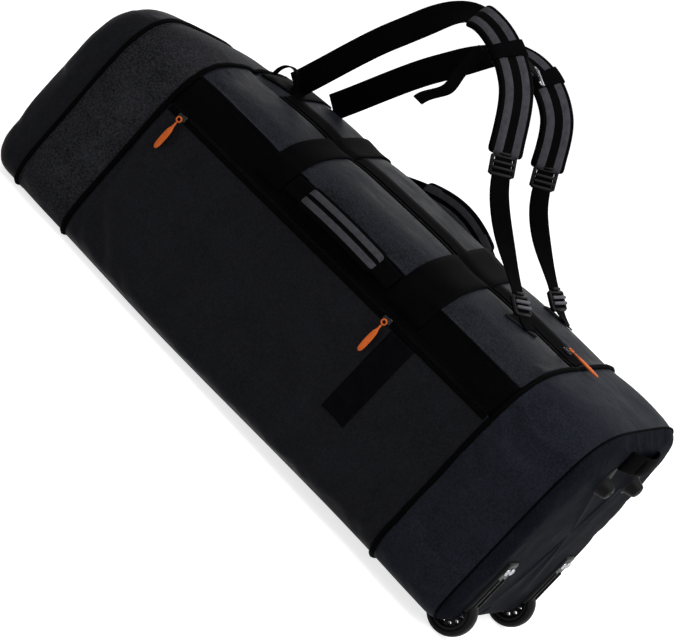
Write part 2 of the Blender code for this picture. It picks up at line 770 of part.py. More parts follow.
def keeper_reach(path, share, run):
    """Distance from the middle of a pad to the outside of its keeper, along a direction."""
    side = path.across(share, strap_turn(share))
    face = path.tangent(share).cross(side).normalized()
    wrap = KEEPER_SEAT + KEEPER_THICK
    wide, deep = PAD_WIDTH / 2 + wrap, PAD_THICK / 2 + wrap
    lean = abs(run.dot(side)) / abs(run.dot(face))
    return min(wide / abs(run.dot(side)), deep / abs(run.dot(face))) + lean * STERNUM_THICK / 2 + SEAT


def sternum(near, far, hinge):
    """Sternum strap between the two pads, with its keepers, ring and loose tail."""
    share = STERNUM_SHARE
    start, end = near.at(share), far.at(share)
    run = (end - start).normalized()
    along = (near.tangent(share) + far.tangent(share)).normalized()
    along = (along - run * along.dot(run)).normalized()
    first = keeper_reach(near, share, run) + 2 * SEAT
    ring_end = (end - start).length - keeper_reach(far, share, run) - SEAT
    points = [start + run * between(first, ring_end - RING_LENGTH - GAP, step / 6) for step in range(7)]
    ribbon("sternum_strap", points, [along] * 7, STERNUM_WIDTH, STERNUM_THICK, BLACK_WEB, hinge)
    ring = [start + run * between(ring_end - RING_LENGTH, ring_end, step / 2) for step in range(3)]
    ribbon("sternum_ring", ring, [along] * 3, STERNUM_WIDTH + 2 * RING_BAR, RING_BAR, STEEL, hinge)
    for name, path in (("near_keeper", near), ("far_keeper", far)):
        keeper(name, path, share, hinge)
    edge = PAD_WIDTH / 2 + KEEPER_SEAT + KEEPER_THICK + SEAT
    top = start - near.across(share, strap_turn(share)) * edge - Vector((STERNUM_WIDTH / 2, 0, 0))
    tail = []
    for step in range(9):
        fall = step / 8
        sway = Vector((-TAIL_SWAY * ramp(fall), -TAIL_SWAY * math.sin(math.pi * fall), -TAIL_LENGTH * fall))
        tail.append(top + sway)
    ribbon("sternum_tail", tail, [Vector((1, 0, 0))] * 9, STERNUM_WIDTH, STERNUM_THICK, BLACK_WEB, hinge)


def keeper(name, path, share, hinge):
    """Webbing keeper wrapped round a shoulder pad."""
    half = STERNUM_WIDTH / 2 / path.length

    def place(u, v):
        here = between(share - half, share + half, u)
        side = path.across(here, strap_turn(here))
        face = path.tangent(here).cross(side).normalized()
        wide, deep = loop(v)
        reach = side * wide * (PAD_WIDTH / 2 + KEEPER_SEAT) + face * deep * (PAD_THICK / 2 + KEEPER_SEAT)
        return path.at(here) + reach

    sheet(name, place, 2, 16, KEEPER_THICK, 1, BLACK_WEB, hinge)


def harness(hinge):
    near_foot = Vector((NEAR_FOOT_STATION, NEAR_FOOT_SIDE))
    far_foot = Vector((FAR_FOOT_STATION, FAR_STRAP_SIDE))
    near = Path(arch(Vector((NEAR_ROOT_STATION, NEAR_ROOT_SIDE)),
                     Vector((NEAR_APEX_STATION, NEAR_APEX_HEIGHT)), near_foot))
    far = Path(arch(Vector((FAR_ROOT_STATION, FAR_STRAP_SIDE)),
                    Vector((FAR_APEX_STATION, FAR_APEX_HEIGHT)), far_foot))
    shoulder_strap("near", near, near_foot, hinge)
    shoulder_strap("far", far, far_foot, hinge)
    sternum(near, far, hinge)


def wheel_centre(side):
    return world(WHEEL_STATION, -side * WHEEL_SIDE, WHEEL_RADIUS)


def housing_box(side, clearance=0.0):
    """Corners of the box that a wheel housing fills."""
    centre = wheel_centre(side)
    low = Vector((centre.x - HOUSING_BACK, centre.y - HOUSING_SIDE, HOUSING_FLOOR))
    high = Vector((centre.x + HOUSING_FRONT, centre.y + HOUSING_SIDE, HOUSING_TOP))
    grow = Vector((clearance, clearance, clearance))
    return low - grow, high + grow


def wheel(side, name):
    """Housing with flange, axle, bearing, hub and tyre of one wheel."""
    centre = wheel_centre(side)
    across = Matrix.Translation(centre) @ Matrix.Rotation(math.pi / 2, 4, "X")
    low, high = housing_box(side)
    label = f"{name}_wheel_housing"
    housing = add(label, box_mesh(label, low, high, HOUSING_BEVEL), BLACK_PLASTIC)
    face = world(BODY_LENGTH + GAP, 0, 0).x
    plate_low = Vector((face, centre.y - FLANGE_HALF, HOUSING_TOP - 2 * HOUSING_BEVEL))
    plate_high = Vector((face + FLANGE_THICK, centre.y + FLANGE_HALF, HOUSING_TOP + FLANGE_HEIGHT))
    plate = cutter(f"{name}_flange", box_mesh(f"{name}_flange", plate_low, plate_high), Matrix())
    boolean(housing, plate, "UNION")
    well = WHEEL_WIDTH + 2 * WELL_CLEARANCE
    tool = cutter(f"{name}_well", rod_mesh(f"{name}_well", WHEEL_RADIUS + WELL_CLEARANCE, well, 32), across)
    boolean(housing, tool)
    length = well + 2 * AXLE_SEAT
    bore = rod_mesh(f"{name}_axle_hole", AXLE_RADIUS + GAP, length + 2 * GAP, 16)
    boolean(housing, cutter(f"{name}_axle_hole", bore, across))
    corner_low = Vector((HOUSING_CORNER, -HALF_WIDTH, -2 * WHEEL_RADIUS))
    corner_high = Vector((HOUSING_CORNER + 2 * WHEEL_RADIUS, HALF_WIDTH, 2 * WHEEL_RADIUS))
    slant = Matrix.Translation(centre) @ Matrix.Rotation(math.pi / 4, 4, "Y")
    boolean(housing, cutter(f"{name}_corner", box_mesh(f"{name}_corner", corner_low, corner_high), slant))
    add(f"{name}_axle", rod_mesh(f"{name}_axle", AXLE_RADIUS, length, 16), STEEL).matrix_world = across

    half = WHEEL_WIDTH / 2
    crown = WHEEL_RADIUS - half * 0.35
    tread = WHEEL_RADIUS - TYRE_CROWN
    tyre = [(crown, half), (tread, half / 2), (WHEEL_RADIUS, 0), (tread, -half / 2), (crown, -half),
            (TYRE_INNER, -half), (TYRE_INNER, half)]
    turned(f"{name}_tyre", tyre, 32, RUBBER, across)
    rim = TYRE_INNER - GAP
    face_half = half - HUB_RECESS
    web = HUB_WEB / 2
    outline = [(rim, face_half), (rim, -face_half), (HUB_RIM, -face_half), (HUB_RIM, -web), (HUB_BOSS, -web),
               (HUB_BOSS, -face_half), (HUB_BORE, -face_half), (HUB_BORE, face_half), (HUB_BOSS, face_half),
               (HUB_BOSS, web), (HUB_RIM, web), (HUB_RIM, face_half)]
    hub = turned(f"{name}_hub", outline, 32, BLACK_PLASTIC, across)
    for index in range(HUB_HOLES):
        swing = 2 * math.pi * index / HUB_HOLES
        spot = Vector((math.cos(swing), 0, math.sin(swing))) * (HUB_BOSS + HUB_RIM) / 2
        place = Matrix.Translation(spot) @ across
        drill = rod_mesh("hub_hole", HUB_HOLE, HUB_WEB * 2, 8)
        boolean(hub, cutter(f"{name}_hub_hole_{index}", drill, place))
    outer, inner = HUB_BORE - GAP, AXLE_RADIUS + GAP
    ring = [(outer, face_half), (outer, -face_half), (inner, -face_half), (inner, face_half)]
    turned(f"{name}_bearing", ring, 20, STEEL, across)


def end_feet():
    """Rubber feet that the bag stands on when it is upright."""
    for side, name in ((NEAR, "near_end_foot"), (FAR, "far_end_foot")):
        spot = world(BODY_LENGTH + GAP + FOOT_REACH / 2, -side * FOOT_SIDE, FOOT_HEIGHT)
        foot = add(name, rod_mesh(name, FOOT_RADIUS, FOOT_REACH, 16, FOOT_TIP), RUBBER)
        foot.matrix_world = Matrix.Translation(spot) @ Matrix.Rotation(math.pi / 2, 4, "Y")


def build():
    hinge = lid_hinge()
    shell_panels()
    stiffeners()
    lid_panels(hinge)
    lid_trim(hinge)
    near_zip()
    sliders_and_pulls(hinge)
    near_handle()
    far_handle()
    end_handles()
    harness(hinge)
    for side, name in ((NEAR, "near"), (FAR, "far")):
        wheel(side, name)
    end_feet()


build()
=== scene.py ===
"""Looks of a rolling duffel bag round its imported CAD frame: sewn shell, lid, harness, handles, wheels."""

import math

import bmesh
import bpy
from bpy.props import FloatProperty, FloatVectorProperty, IntProperty, PointerProperty
from mathutils import Matrix, Vector
from mathutils.bvhtree import BVHTree


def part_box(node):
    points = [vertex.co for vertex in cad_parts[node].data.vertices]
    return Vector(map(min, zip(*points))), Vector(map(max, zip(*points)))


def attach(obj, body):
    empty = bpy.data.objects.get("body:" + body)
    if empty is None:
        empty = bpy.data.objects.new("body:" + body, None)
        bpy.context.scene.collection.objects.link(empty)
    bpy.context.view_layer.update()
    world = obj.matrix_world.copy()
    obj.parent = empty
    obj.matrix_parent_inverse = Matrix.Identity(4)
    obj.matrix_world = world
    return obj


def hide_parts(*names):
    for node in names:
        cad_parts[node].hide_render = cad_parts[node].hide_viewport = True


bl_info = {
    "name": "Rolling duffel bag",
    "version": (1, 0, 0),
    "blender": (4, 5, 0),
    "location": "View3D > Sidebar > Duffel",
    "description": "Builds the looks of a rolling duffel bag round its packed frame",
    "category": "Object",
}

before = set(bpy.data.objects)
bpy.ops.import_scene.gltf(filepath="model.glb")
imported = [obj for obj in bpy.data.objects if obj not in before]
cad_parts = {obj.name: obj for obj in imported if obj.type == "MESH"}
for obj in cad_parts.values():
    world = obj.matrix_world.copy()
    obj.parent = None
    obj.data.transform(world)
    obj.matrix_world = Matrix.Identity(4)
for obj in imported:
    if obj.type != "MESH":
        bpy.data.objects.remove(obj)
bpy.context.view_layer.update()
NEAR = 1
FAR = -1
UP = Vector((0, 0, 1))
LEFT = Vector((0, 1, 0))
AHEAD = Vector((1, 0, 0))

PICTURE_WIDTH = 679
FLOOR_GAP = 0.0002
CLOTH_THICKNESS = 0.0022
LID_ZIP_START = 0.190
LID_ZIP_Y = -0.020
LEG_STATION = 0.572
LEG_WIDTH = 0.038
HANDLE_START, HANDLE_END = 0.327, 0.512
GRIP_HALF = 0.064

# Shares of a shoulder strap's length
PAD_START, PAD_END = 0.40, 0.70
KEEPER = 0.50
ADJUSTER = 0.7175
LOWER_LOCK = 0.982


# Settings

def metres(name, default, description):
    return FloatProperty(name=name, description=description, default=default, unit="LENGTH", precision=4)


def number(name, default, description):
    return FloatProperty(name=name, description=description, default=default, precision=3)


def colour(name, default, description):
    return FloatVectorProperty(name=name, description=description, default=default, subtype="COLOR", size=3,
                               min=0, max=1)


class DuffelForm(bpy.types.PropertyGroup):
    """Shape of the sewn shell. Stations run from the head face."""

    length: metres("Length", 0.845, "Head face to wheel-end face")
    middle: metres("Middle", 0.421, "Station that lies over the origin")
    half_width: metres("Half width", 0.170, "Half of the widest girth")
    belly: metres("Belly", 0.140, "Height of the widest line")
    crest: metres("Crest", 0.268, "Crest height at the head face")
    swell: metres("Swell", 0.036, "Rise of the crest behind the head")
    run: metres("Swell run", 0.090, "Length over which the crest swells")
    slope: number("Crest slope", 0.044, "Steady rise of the crest")
    lean: number("Deck lean", 0.08, "How far the lid leans up to the far side")
    head_lean: number("Head lean", -0.08, "How far the head end leans down to the far side")
    base_rise: metres("Base rise", 0.012, "Lift of the base at the wheels")
    rise_start: metres("Rise start", 0.250, "Station where the base leaves the floor")
    head_round: metres("Head rounding", 0.022, "Corner radius of the head end")
    end_round: metres("End rounding", 0.030, "Corner radius of the wheel end")
    cap_seam: metres("Cap seam", 0.044, "Seam behind the head cap")
    band_seam: metres("Band seam", 0.140, "Seam behind the heather band")
    gusset_seam: metres("Gusset seam", 0.715, "Seam in front of the wheel end")
    end_seam: metres("End seam", 0.828, "Seam round the end face")
    zip_head: metres("Zip height", 0.224, "Side zip height at the head face")
    zip_slope: number("Zip slope", 0.030, "Rise of the side zip")
    fold_height: metres("Fold height", 0.238, "Height of the lid's fold on the far side")
    shoulder: metres("Shoulder band", 0.047, "Height of the black shoulder band")


class DuffelCloth(bpy.types.PropertyGroup):
    """Cloth simulation of the shell."""

    frames: IntProperty(name="Frames", description="Length of the simulation", default=22)
    pressure: number("Pressure", 0.9, "Outward pressure of the packed load")
    growth: number("Slack", 0.018, "Extra cloth that shows as wrinkles")
    reach: metres("Reach", 0.006, "Furthest a point may move")


class DuffelColours(bpy.types.PropertyGroup):
    """Colours of the finishes."""

    panel: colour("Panels", (0.0056, 0.0059, 0.0076), "Sides, base and head cap")
    heather: colour("Heather band", (0.0125, 0.0127, 0.0152), "Pocket band behind the head cap")
    lid: colour("Lid", (0.0082, 0.0087, 0.0118), "Lid panel")
    end: colour("Wheel end", (0.0092, 0.0100, 0.0146), "Gusset and end panel")
    lining: colour("Lining", (0.012, 0.012, 0.0135), "Inside of the shell")
    webbing: colour("Webbing", (0.0008, 0.0008, 0.0010), "Straps, bands and bindings")
    leg: colour("Side webbing", (0.0018, 0.0018, 0.0023), "Webbing leg on the near side")
    mesh: colour("Spacer mesh", (0.036, 0.036, 0.041), "Pads and grips")
    pull: colour("Pulls", (0.50, 0.098, 0.014), "Zip pulls")
    plastic: colour("Plastic", (0.0016, 0.0016, 0.0018), "Buckles, housings and hubs")
    rubber: colour("Rubber", (0.0020, 0.0020, 0.0022), "Tyres and feet")
    steel: colour("Steel", (0.36, 0.36, 0.38), "Axles, screws and ring")


class DuffelStage(bpy.types.PropertyGroup):
    """Camera and light."""

    azimuth: number("Azimuth", 17.5, "Camera turn round the bag in degrees")
    elevation: number("Elevation", 13.4, "Camera height above the horizon in degrees")
    roll: number("Roll", 42.4, "Camera roll in degrees")
    distance: metres("Distance", 4.0, "Camera distance from the target")
    focal: number("Focal length", 3140.0, "Focal length in pixels of the picture")
    shift_x: number("Shift across", -7.0, "Picture shift to the right in pixels")
    shift_y: number("Shift down", -6.0, "Picture shift down in pixels")
    key: number("Key light", 58.0, "Power of the overhead light")
    fill: number("Fill light", 8.0, "Power of the soft lights in front and behind")
    end: number("End light", 12.0, "Power of the light at the wheel end")
    sky: number("Sky", 0.45, "Strength of the surrounding light")


def lerp(a, b, t):
    return a + (b - a) * t


def ramp(t):
    t = min(max(t, 0.0), 1.0)
    return t * t * (3 - 2 * t)


def bell(t, centre, width):
    """Smooth bump of height 1."""
    return math.exp(-((t - centre) / width) ** 2)


class Skin:
    """The shell's plain outer surface, before cloth."""

    top_power = 4.5
    base_power = 7.0

    def __init__(self, form):
        for name in DuffelForm.__annotations__:
            setattr(self, name, getattr(form, name))

    def place(self, station, y, z):
        return Vector((station - self.middle, y, z))

    def base(self, station):
        return self.base_rise * ramp((station - self.rise_start) / (self.gusset_seam - self.rise_start))

    def top(self, station):
        return self.crest + self.swell * (1 - math.exp(-station / self.run)) + self.slope * station

    def lean_at(self, station):
        return lerp(self.head_lean, self.lean, ramp((station - 0.10) / 0.07))

    def inset(self, station):
        for depth, radius in ((station, self.head_round), (self.length - station, self.end_round)):
            if depth < radius:
                return radius - math.sqrt(max(radius ** 2 - (radius - max(depth, 0.0)) ** 2, 0.0))
        return 0.0

    def at(self, station, angle, out=0.0):
        """Angle 0 is the base, 90 degrees the near side and 180 the crest."""
        inset = self.inset(station) - out
        half = self.half_width - inset
        across, up = math.sin(angle), -math.cos(angle)
        if up < 0:
            drop = self.belly - self.base(station) - inset
            y = -math.copysign(half * abs(across) ** (2 / self.base_power), across)
            z = self.belly - min((drop + 0.003) * abs(up) ** (2 / self.base_power), drop)
        else:
            rise = self.top(station) - inset - self.belly
            share = abs(up) ** (2 / self.top_power)
            y = -math.copysign(half * abs(across) ** (2 / self.top_power), across)
            z = self.belly + rise * share + self.lean_at(station) * y * share ** 2
        return self.place(station, y, z)

    def angle(self, station, height, side):
        low, high = math.radians(90), math.radians(150)
        for _ in range(30):
            middle = (low + high) / 2
            if self.at(station, side * middle).z < height:
                low = middle
            else:
                high = middle
        return side * (low + high) / 2

    def zip_height(self, station, side):
        return self.zip_head + self.zip_slope * station if side == NEAR else self.fold_height

    def zip(self, station, side, above=0.0):
        """Girth angle of the zip line, or of a line above it. The far side counts on past the crest."""
        station = min(max(station, self.band_seam), self.gusset_seam)
        angle = self.angle(station, self.zip_height(station, side) + above, side)
        return angle if side == NEAR else angle + 2 * math.pi

    def deck_angle(self, y):
        across = min(abs(y) / self.half_width, 1.0) ** (self.top_power / 2)
        return math.pi + math.copysign(math.asin(across), y)

    def side_angle(self, station, height):
        """Girth angle of a height on the near side below the belly or above it."""
        if height >= self.belly:
            return self.angle(station, height, NEAR)
        drop = self.belly - self.base(station) + 0.003
        return math.acos(min(((self.belly - height) / drop) ** (self.base_power / 2), 1.0))

    def angle_of(self, warp):
        """Girth angle of an even parameter: -1 to 1 is the lower half and 1 to 3 the upper."""
        if warp <= 1:
            return math.copysign(math.pi / 2 * abs(warp) ** (self.base_power / 2), warp)
        if warp <= 3:
            return math.pi + math.copysign(math.pi / 2 * abs(warp - 2) ** (self.top_power / 2), warp - 2)
        return 2 * math.pi + math.copysign(math.pi / 2 * abs(warp - 4) ** (self.base_power / 2), warp - 4)

    def warp_of(self, angle):
        quarter = math.pi / 2
        if angle <= quarter:
            return math.copysign((abs(angle) / quarter) ** (2 / self.base_power), angle)
        if angle <= 3 * quarter:
            past = angle - math.pi
            return 2 + math.copysign((abs(past) / quarter) ** (2 / self.top_power), past)
        past = angle - 4 * quarter
        return 4 + math.copysign((abs(past) / quarter) ** (2 / self.base_power), past)

    def normal(self, station, angle):
        along = self.at(station + 0.002, angle) - self.at(station - 0.002, angle)
        girth = self.at(station, angle + 0.01) - self.at(station, angle - 0.01)
        return along.cross(girth).normalized()


# Materials

class Graph:
    """Short hand for building a node tree."""

    def __init__(self, name):
        self.material = bpy.data.materials.new(name)
        self.material.use_nodes = True
        self.tree = self.material.node_tree
        self.shader = self.tree.nodes["Principled BSDF"]

    def put(self, socket, value):
        if isinstance(value, bpy.types.NodeSocket):
            self.tree.links.new(value, socket)
        elif isinstance(value, (int, float)) and socket.type in {"RGBA", "VECTOR"}:
            socket.default_value = (value, value, value, 1.0)[:len(socket.default_value)]
        elif isinstance(value, tuple) and socket.type == "RGBA":
            socket.default_value = (*value[:3], 1.0)
        else:
            socket.default_value = value

    def add(self, kind, out=0, values=None, **settings):
        node = self.tree.nodes.new(kind)
        for key, value in settings.items():
            setattr(node, key, value)
        for key, value in (values or {}).items():
            self.put(node.inputs[key], value)
        return node.outputs[out]

    def math(self, operation, a, b=0.0, clamp=False):
        return self.add("ShaderNodeMath", 0, {0: a, 1: b}, operation=operation, use_clamp=clamp)

    def uv(self):
        place = self.add("ShaderNodeUVMap", 0, uv_map="UVMap")
        node = self.add("ShaderNodeSeparateXYZ", 0, {0: place}).node
        return node.outputs[0], node.outputs[1]

    def noise(self, scale, detail=4.0, rough=0.55, distort=0.0):
        place = self.add("ShaderNodeTexCoord", "Object")
        return self.add("ShaderNodeTexNoise", "Fac", {"Vector": place, "Scale": scale, "Detail": detail,
                                                      "Roughness": rough, "Distortion": distort})

    def wave(self, value, period):
        return self.math("SINE", self.math("MULTIPLY", value, 2 * math.pi / period))

    def mix(self, share, a, b):
        return self.add("ShaderNodeMix", 2, {0: share, 6: a, 7: b}, data_type="RGBA")

    def tinted(self, colour, tone):
        """Colour made darker or lighter by a tone between 0 and 2."""
        return self.mix(self.math("MULTIPLY", tone, 0.5, True), (0, 0, 0), scaled(colour, 2.0))

    def span(self, value, low, high, out_low=0.0, out_high=1.0):
        return self.add("ShaderNodeMapRange", 0, {0: value, 1: low, 2: high, 3: out_low, 4: out_high})

    def bump(self, height, distance, strength=1.0, under=None):
        values = {"Height": height, "Distance": distance, "Strength": strength}
        if under is not None:
            values["Normal"] = under
        return self.add("ShaderNodeBump", 0, values)

    def done(self, colour, roughness, normal=None, metallic=0.0, specular=0.5):
        self.put(self.shader.inputs["Base Color"], colour)
        self.put(self.shader.inputs["Roughness"], roughness)
        self.put(self.shader.inputs["Metallic"], metallic)
        self.put(self.shader.inputs["Specular IOR Level"], specular)
        if normal is not None:
            self.put(self.shader.inputs["Normal"], normal)
        return self.material


def scaled(colour, factor):
    return tuple(channel * factor for channel in colour)


def cloth(name, colour, roughness, weave, mottle, twill=False, specular=0.035):
    """Woven, coated polyester: weave relief, mottled colour and fine creases."""
    g = Graph(name)
    u, v = g.uv()
    if twill:
        threads = g.wave(g.math("ADD", u, v), weave)
        grain = g.wave(g.math("SUBTRACT", u, g.math("MULTIPLY", v, 0.35)), weave * 0.62)
        relief = g.math("ADD", threads, g.math("MULTIPLY", grain, 0.6))
    else:
        relief = g.math("MULTIPLY", g.wave(u, weave), g.wave(v, weave))
    blotch = g.noise(26.0, 6.0, 0.62)
    speck = g.noise(420.0, 2.0, 0.6)
    wide = g.span(blotch, 0.36, 0.64, -0.4 * mottle, 0.4 * mottle)
    fine = g.span(speck, 0.40, 0.60, 1 - 0.8 * mottle, 1 + 0.8 * mottle)
    tone = g.math("ADD", fine, wide)
    shade = g.tinted(colour, tone)
    folds = g.bump(g.noise(14.0, 3.0, 0.45, 0.3), 0.0048, 0.7)
    normal = g.bump(relief, weave * 0.12, 0.6, folds)
    rough = g.span(blotch, 0.35, 0.65, roughness - 0.06, roughness + 0.08)
    return g.done(shade, rough, normal, specular=specular)


def webbing(name, colour, width):
    """Ribbed webbing with a row of stitches near each edge."""
    g = Graph(name)
    u, v = g.uv()
    rib = g.wave(u, 0.0021)
    weft = g.wave(v, 0.0034)
    relief = g.math("ADD", rib, g.math("MULTIPLY", weft, 0.5))
    edge = g.math("ABSOLUTE", v)
    line = g.math("LESS_THAN", g.math("ABSOLUTE", g.math("SUBTRACT", edge, width / 2 - 0.0035)), 0.0005)
    dash = g.math("GREATER_THAN", g.wave(u, 0.0042), -0.25)
    thread = g.math("MULTIPLY", line, dash)
    tone = g.span(g.noise(90.0, 3.0), 0.3, 0.7, 0.75, 1.3)
    shade = g.tinted(colour, tone)
    shade = g.mix(thread, shade, scaled(colour, 2.6))
    height = g.math("ADD", g.math("MULTIPLY", relief, 0.25), thread)
    normal = g.bump(height, 0.0004, 0.7)
    return g.done(shade, 0.72, normal, specular=0.012)


def spacer_mesh(name, colour):
    """Open knitted mesh over foam: rows of small dark holes."""
    g = Graph(name)
    u, v = g.uv()
    rows = g.wave(g.math("ADD", u, v), 0.0050)
    holes = g.math("MULTIPLY", rows, g.wave(g.math("SUBTRACT", u, v), 0.0050))
    dark = g.span(holes, 0.15, 0.7)
    tone = g.span(g.noise(130.0, 3.0), 0.3, 0.7, 0.8, 1.2)
    light = g.tinted(colour, tone)
    shade = g.mix(dark, light, scaled(colour, 0.2))
    normal = g.bump(holes, 0.0006, -0.8)
    return g.done(shade, 0.85, normal, specular=0.03)


def moulded(name, colour, roughness, grain=260.0, depth=0.00012, metallic=0.0, specular=0.14):
    """Moulded plastic, rubber or plated metal with a fine grain."""
    g = Graph(name)
    fine = g.noise(grain, 3.0)
    wide = g.noise(38.0, 4.0)
    tone = g.span(wide, 0.3, 0.7, 0.82, 1.18)
    shade = g.tinted(colour, tone)
    rough = g.span(wide, 0.3, 0.7, roughness - 0.06, roughness + 0.08)
    return g.done(shade, rough, g.bump(fine, depth, 0.6), metallic=metallic, specular=specular)


class Kit:
    """Materials and surfaces shared by the operators of one build."""

    materials = {}
    skin = None
    surface = None


def finish(name):
    return Kit.materials[name]


def make_materials():
    made = Kit.materials
    colours = bpy.context.scene.duffel_colours
    tone = {name: tuple(getattr(colours, name)) for name in DuffelColours.__annotations__}
    made["panel"] = cloth("coated_polyester", tone["panel"], 0.50, 0.0013, 0.4)
    made["heather"] = cloth("heather_polyester", tone["heather"], 0.66, 0.0024, 0.65, True)
    made["lid"] = cloth("lid_polyester", tone["lid"], 0.50, 0.0012, 0.6)
    made["end"] = cloth("end_polyester", tone["end"], 0.50, 0.0013, 0.35, specular=0.02)
    made["end_face"] = cloth("end_face_polyester", scaled(tone["end"], 0.60), 0.62, 0.0013, 0.4,
                             specular=0.006)
    made["shoulder"] = cloth("shoulder_polyester", tone["webbing"], 0.62, 0.0016, 0.3, specular=0.010)
    made["lining"] = cloth("lining", tone["lining"], 0.6, 0.0009, 0.2)
    for width in (6, 14, 20, 25, 26, 30, 38, 60):
        made[f"web{width}"] = webbing(f"black_webbing_{width}", tone["webbing"], width / 1000)
    made["leg"] = webbing("side_webbing", tone["leg"], 0.038)
    made["tab"] = webbing("tab_webbing", scaled(tone["mesh"], 0.25), 0.046)
    made["mesh"] = spacer_mesh("grey_spacer_mesh", tone["mesh"])
    made["binding"] = moulded("edge_binding", tone["webbing"], 0.7, 900.0, 0.0002, specular=0.012)
    made["thread"] = moulded("sewing_thread", scaled(tone["lid"], 0.5), 0.7, 900.0, 0.0001, specular=0.012)
    made["orange"] = moulded("orange_rubber", tone["pull"], 0.42)
    made["plastic"] = moulded("black_plastic", tone["plastic"], 0.36, specular=0.08)
    made["rubber"] = moulded("wheel_rubber", tone["rubber"], 0.5, specular=0.07)
    made["steel"] = moulded("bright_steel", tone["steel"], 0.26, 500.0, 0.00004, 1.0)
    made["dark_metal"] = moulded("dark_metal", scaled(tone["steel"], 0.05), 0.35, 500.0, 0.00004, 1.0)
    made["pale"] = moulded("pale_plastic", scaled(tone["mesh"], 1.6), 0.45)


# Mesh building

def make(name, shape, material, body, nodes=(), turn=True):
    """Finished piece riding on a CAD body and standing for its CAD nodes."""
    mesh = bpy.data.meshes.new(name)
    if turn:
        bmesh.ops.recalc_face_normals(shape, faces=shape.faces[:])
    shape.to_mesh(mesh)
    shape.free()
    for item in material if isinstance(material, (list, tuple)) else [material]:
        mesh.materials.append(item)
    for face in mesh.polygons:
        face.use_smooth = True
    obj = bpy.data.objects.new(name, mesh)
    bpy.context.scene.collection.objects.link(obj)
    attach(obj, body)
    if nodes:
        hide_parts(*nodes)
    return obj


def modify(obj, kind, **settings):
    modifier = obj.modifiers.new(kind.title(), kind)
    for key, value in settings.items():
        setattr(modifier, key, value)


def soften(obj, width):
    modify(obj, "BEVEL", width=width, segments=2, limit_method="ANGLE", angle_limit=math.radians(35))


def rings(shape, loops, closed=False, caps=True, material=0):
    """Skins loops of points into a tube.

    The map runs along the tube, and round it from the loops' first point.
    """
    layer = shape.loops.layers.uv.verify()
    count = len(loops[0])
    last = len(loops) if closed else len(loops) - 1
    made = bmesh.ops.create_grid(shape, x_segments=last, y_segments=count, size=0.5)["verts"]
    spots = {vert: (round((vert.co.x + 0.5) * last), round((vert.co.y + 0.5) * count)) for vert in made}
    along = [0.0]
    for first, second in zip(loops, loops[1:] + loops[:1]):
        along.append(along[-1] + (sum(second, Vector()) - sum(first, Vector())).length / count)
    around = [0.0]
    for first, second in zip(loops[0], loops[0][1:] + loops[0][:1]):
        around.append(around[-1] + (second - first).length)
    for face in {face for vert in made for face in vert.link_faces}:
        face.material_index = material
        half = 2 * min(spots[loop.vert][1] for loop in face.loops) >= count
        for loop in face.loops:
            i, j = spots[loop.vert]
            loop[layer].uv = (along[i], around[j] - (around[-1] if half else 0.0))
    for vert, (i, j) in spots.items():
        vert.co = loops[i % len(loops)][j % count]
    bmesh.ops.remove_doubles(shape, verts=made, dist=1e-7)
    if caps and not closed:
        edges = {edge for vert in made if vert.is_valid for edge in vert.link_edges if edge.is_boundary}
        for face in bmesh.ops.holes_fill(shape, edges=list(edges), sides=0)["faces"]:
            face.material_index = material


def oval(wide, deep, count=12, power=2.0):
    """Loop of (across, out) points."""
    points = []
    for step in range(count):
        angle = 2 * math.pi * step / count
        a, b = math.cos(angle), math.sin(angle)
        across = math.copysign(abs(a) ** (2 / power), a) * wide
        points.append((across, math.copysign(abs(b) ** (2 / power), b) * deep))
    return points


def flat(width, thick, count=5):
    """Webbing section with rounded edges, starting at the middle of its upper face."""
    half, round_ = width / 2, thick / 2
    top = [(lerp(0, half - round_, i / count), round_) for i in range(count + 1)]
    side = [(half, 0.0)]
    low = [(lerp(half - round_, -half + round_, i / (2 * count)), -round_) for i in range(2 * count + 1)]
    back = [(-half, 0.0)]
    rest = [(lerp(-half + round_, 0, i / count), round_) for i in range(count)]
    return top + side + low + back + rest


def sweep(shape, frames, section):
    """Section carried along frames of (place, across, out). It may be a function of the frame's number."""
    loops = []
    for index, (place, across, out) in enumerate(frames):
        outline = section(index) if callable(section) else section
        loops.append([place + across * a + out * b for a, b in outline])
    rings(shape, loops)


def drape(point, normal, out=0.0):
    """Point on the cloth under a point of the plain skin, and the cloth's direction there."""
    start = point + normal * 0.05
    place, direction, _, _ = Kit.surface.ray_cast(start, -normal, 0.11)
    if place is None:
        return point + normal * out, normal
    if direction.dot(normal) < 0:
        direction = -direction
    direction = (direction + normal).normalized()
    return place + direction * out, direction


def on_skin(station, angle, out=0.0):
    skin = Kit.skin
    return drape(skin.at(station, angle), skin.normal(station, angle), out)


def laid(shape, rows, lift, thick):
    """Strip of webbing or cloth laid on the shell. Each row lists (station, angle) across the strip."""
    loops = []
    for row in rows:
        spots = [on_skin(station, angle) for station, angle in row]
        low = [place + up * lift for place, up in spots]
        high = [place + up * (lift + thick) for place, up in spots]
        left = (spots[0][0] - spots[1][0]).normalized() * thick * 0.4
        right = (spots[-1][0] - spots[-2][0]).normalized() * thick * 0.4
        left_edge = (low[0] + high[0]) / 2 + left
        right_edge = (low[-1] + high[-1]) / 2 + right
        middle = len(row) // 2
        loop = high[middle:] + [right_edge] + low[::-1] + [left_edge] + high[:middle]
        loops.append(loop)
    rings(shape, loops)


def girth_strip(shape, station_at, width, low, high, steps, lift, thick, across):
    """Strip round the girth between two angles, centred on a station."""
    rows = []
    for step in range(steps + 1):
        share = step / steps
        warp = lerp(Kit.skin.warp_of(low), Kit.skin.warp_of(high), share)
        angle = Kit.skin.angle_of(warp)
        centre = station_at(share)
        rows.append([(centre + width * (j / across - 0.5), angle) for j in range(across + 1)])
    laid(shape, rows, lift, thick)


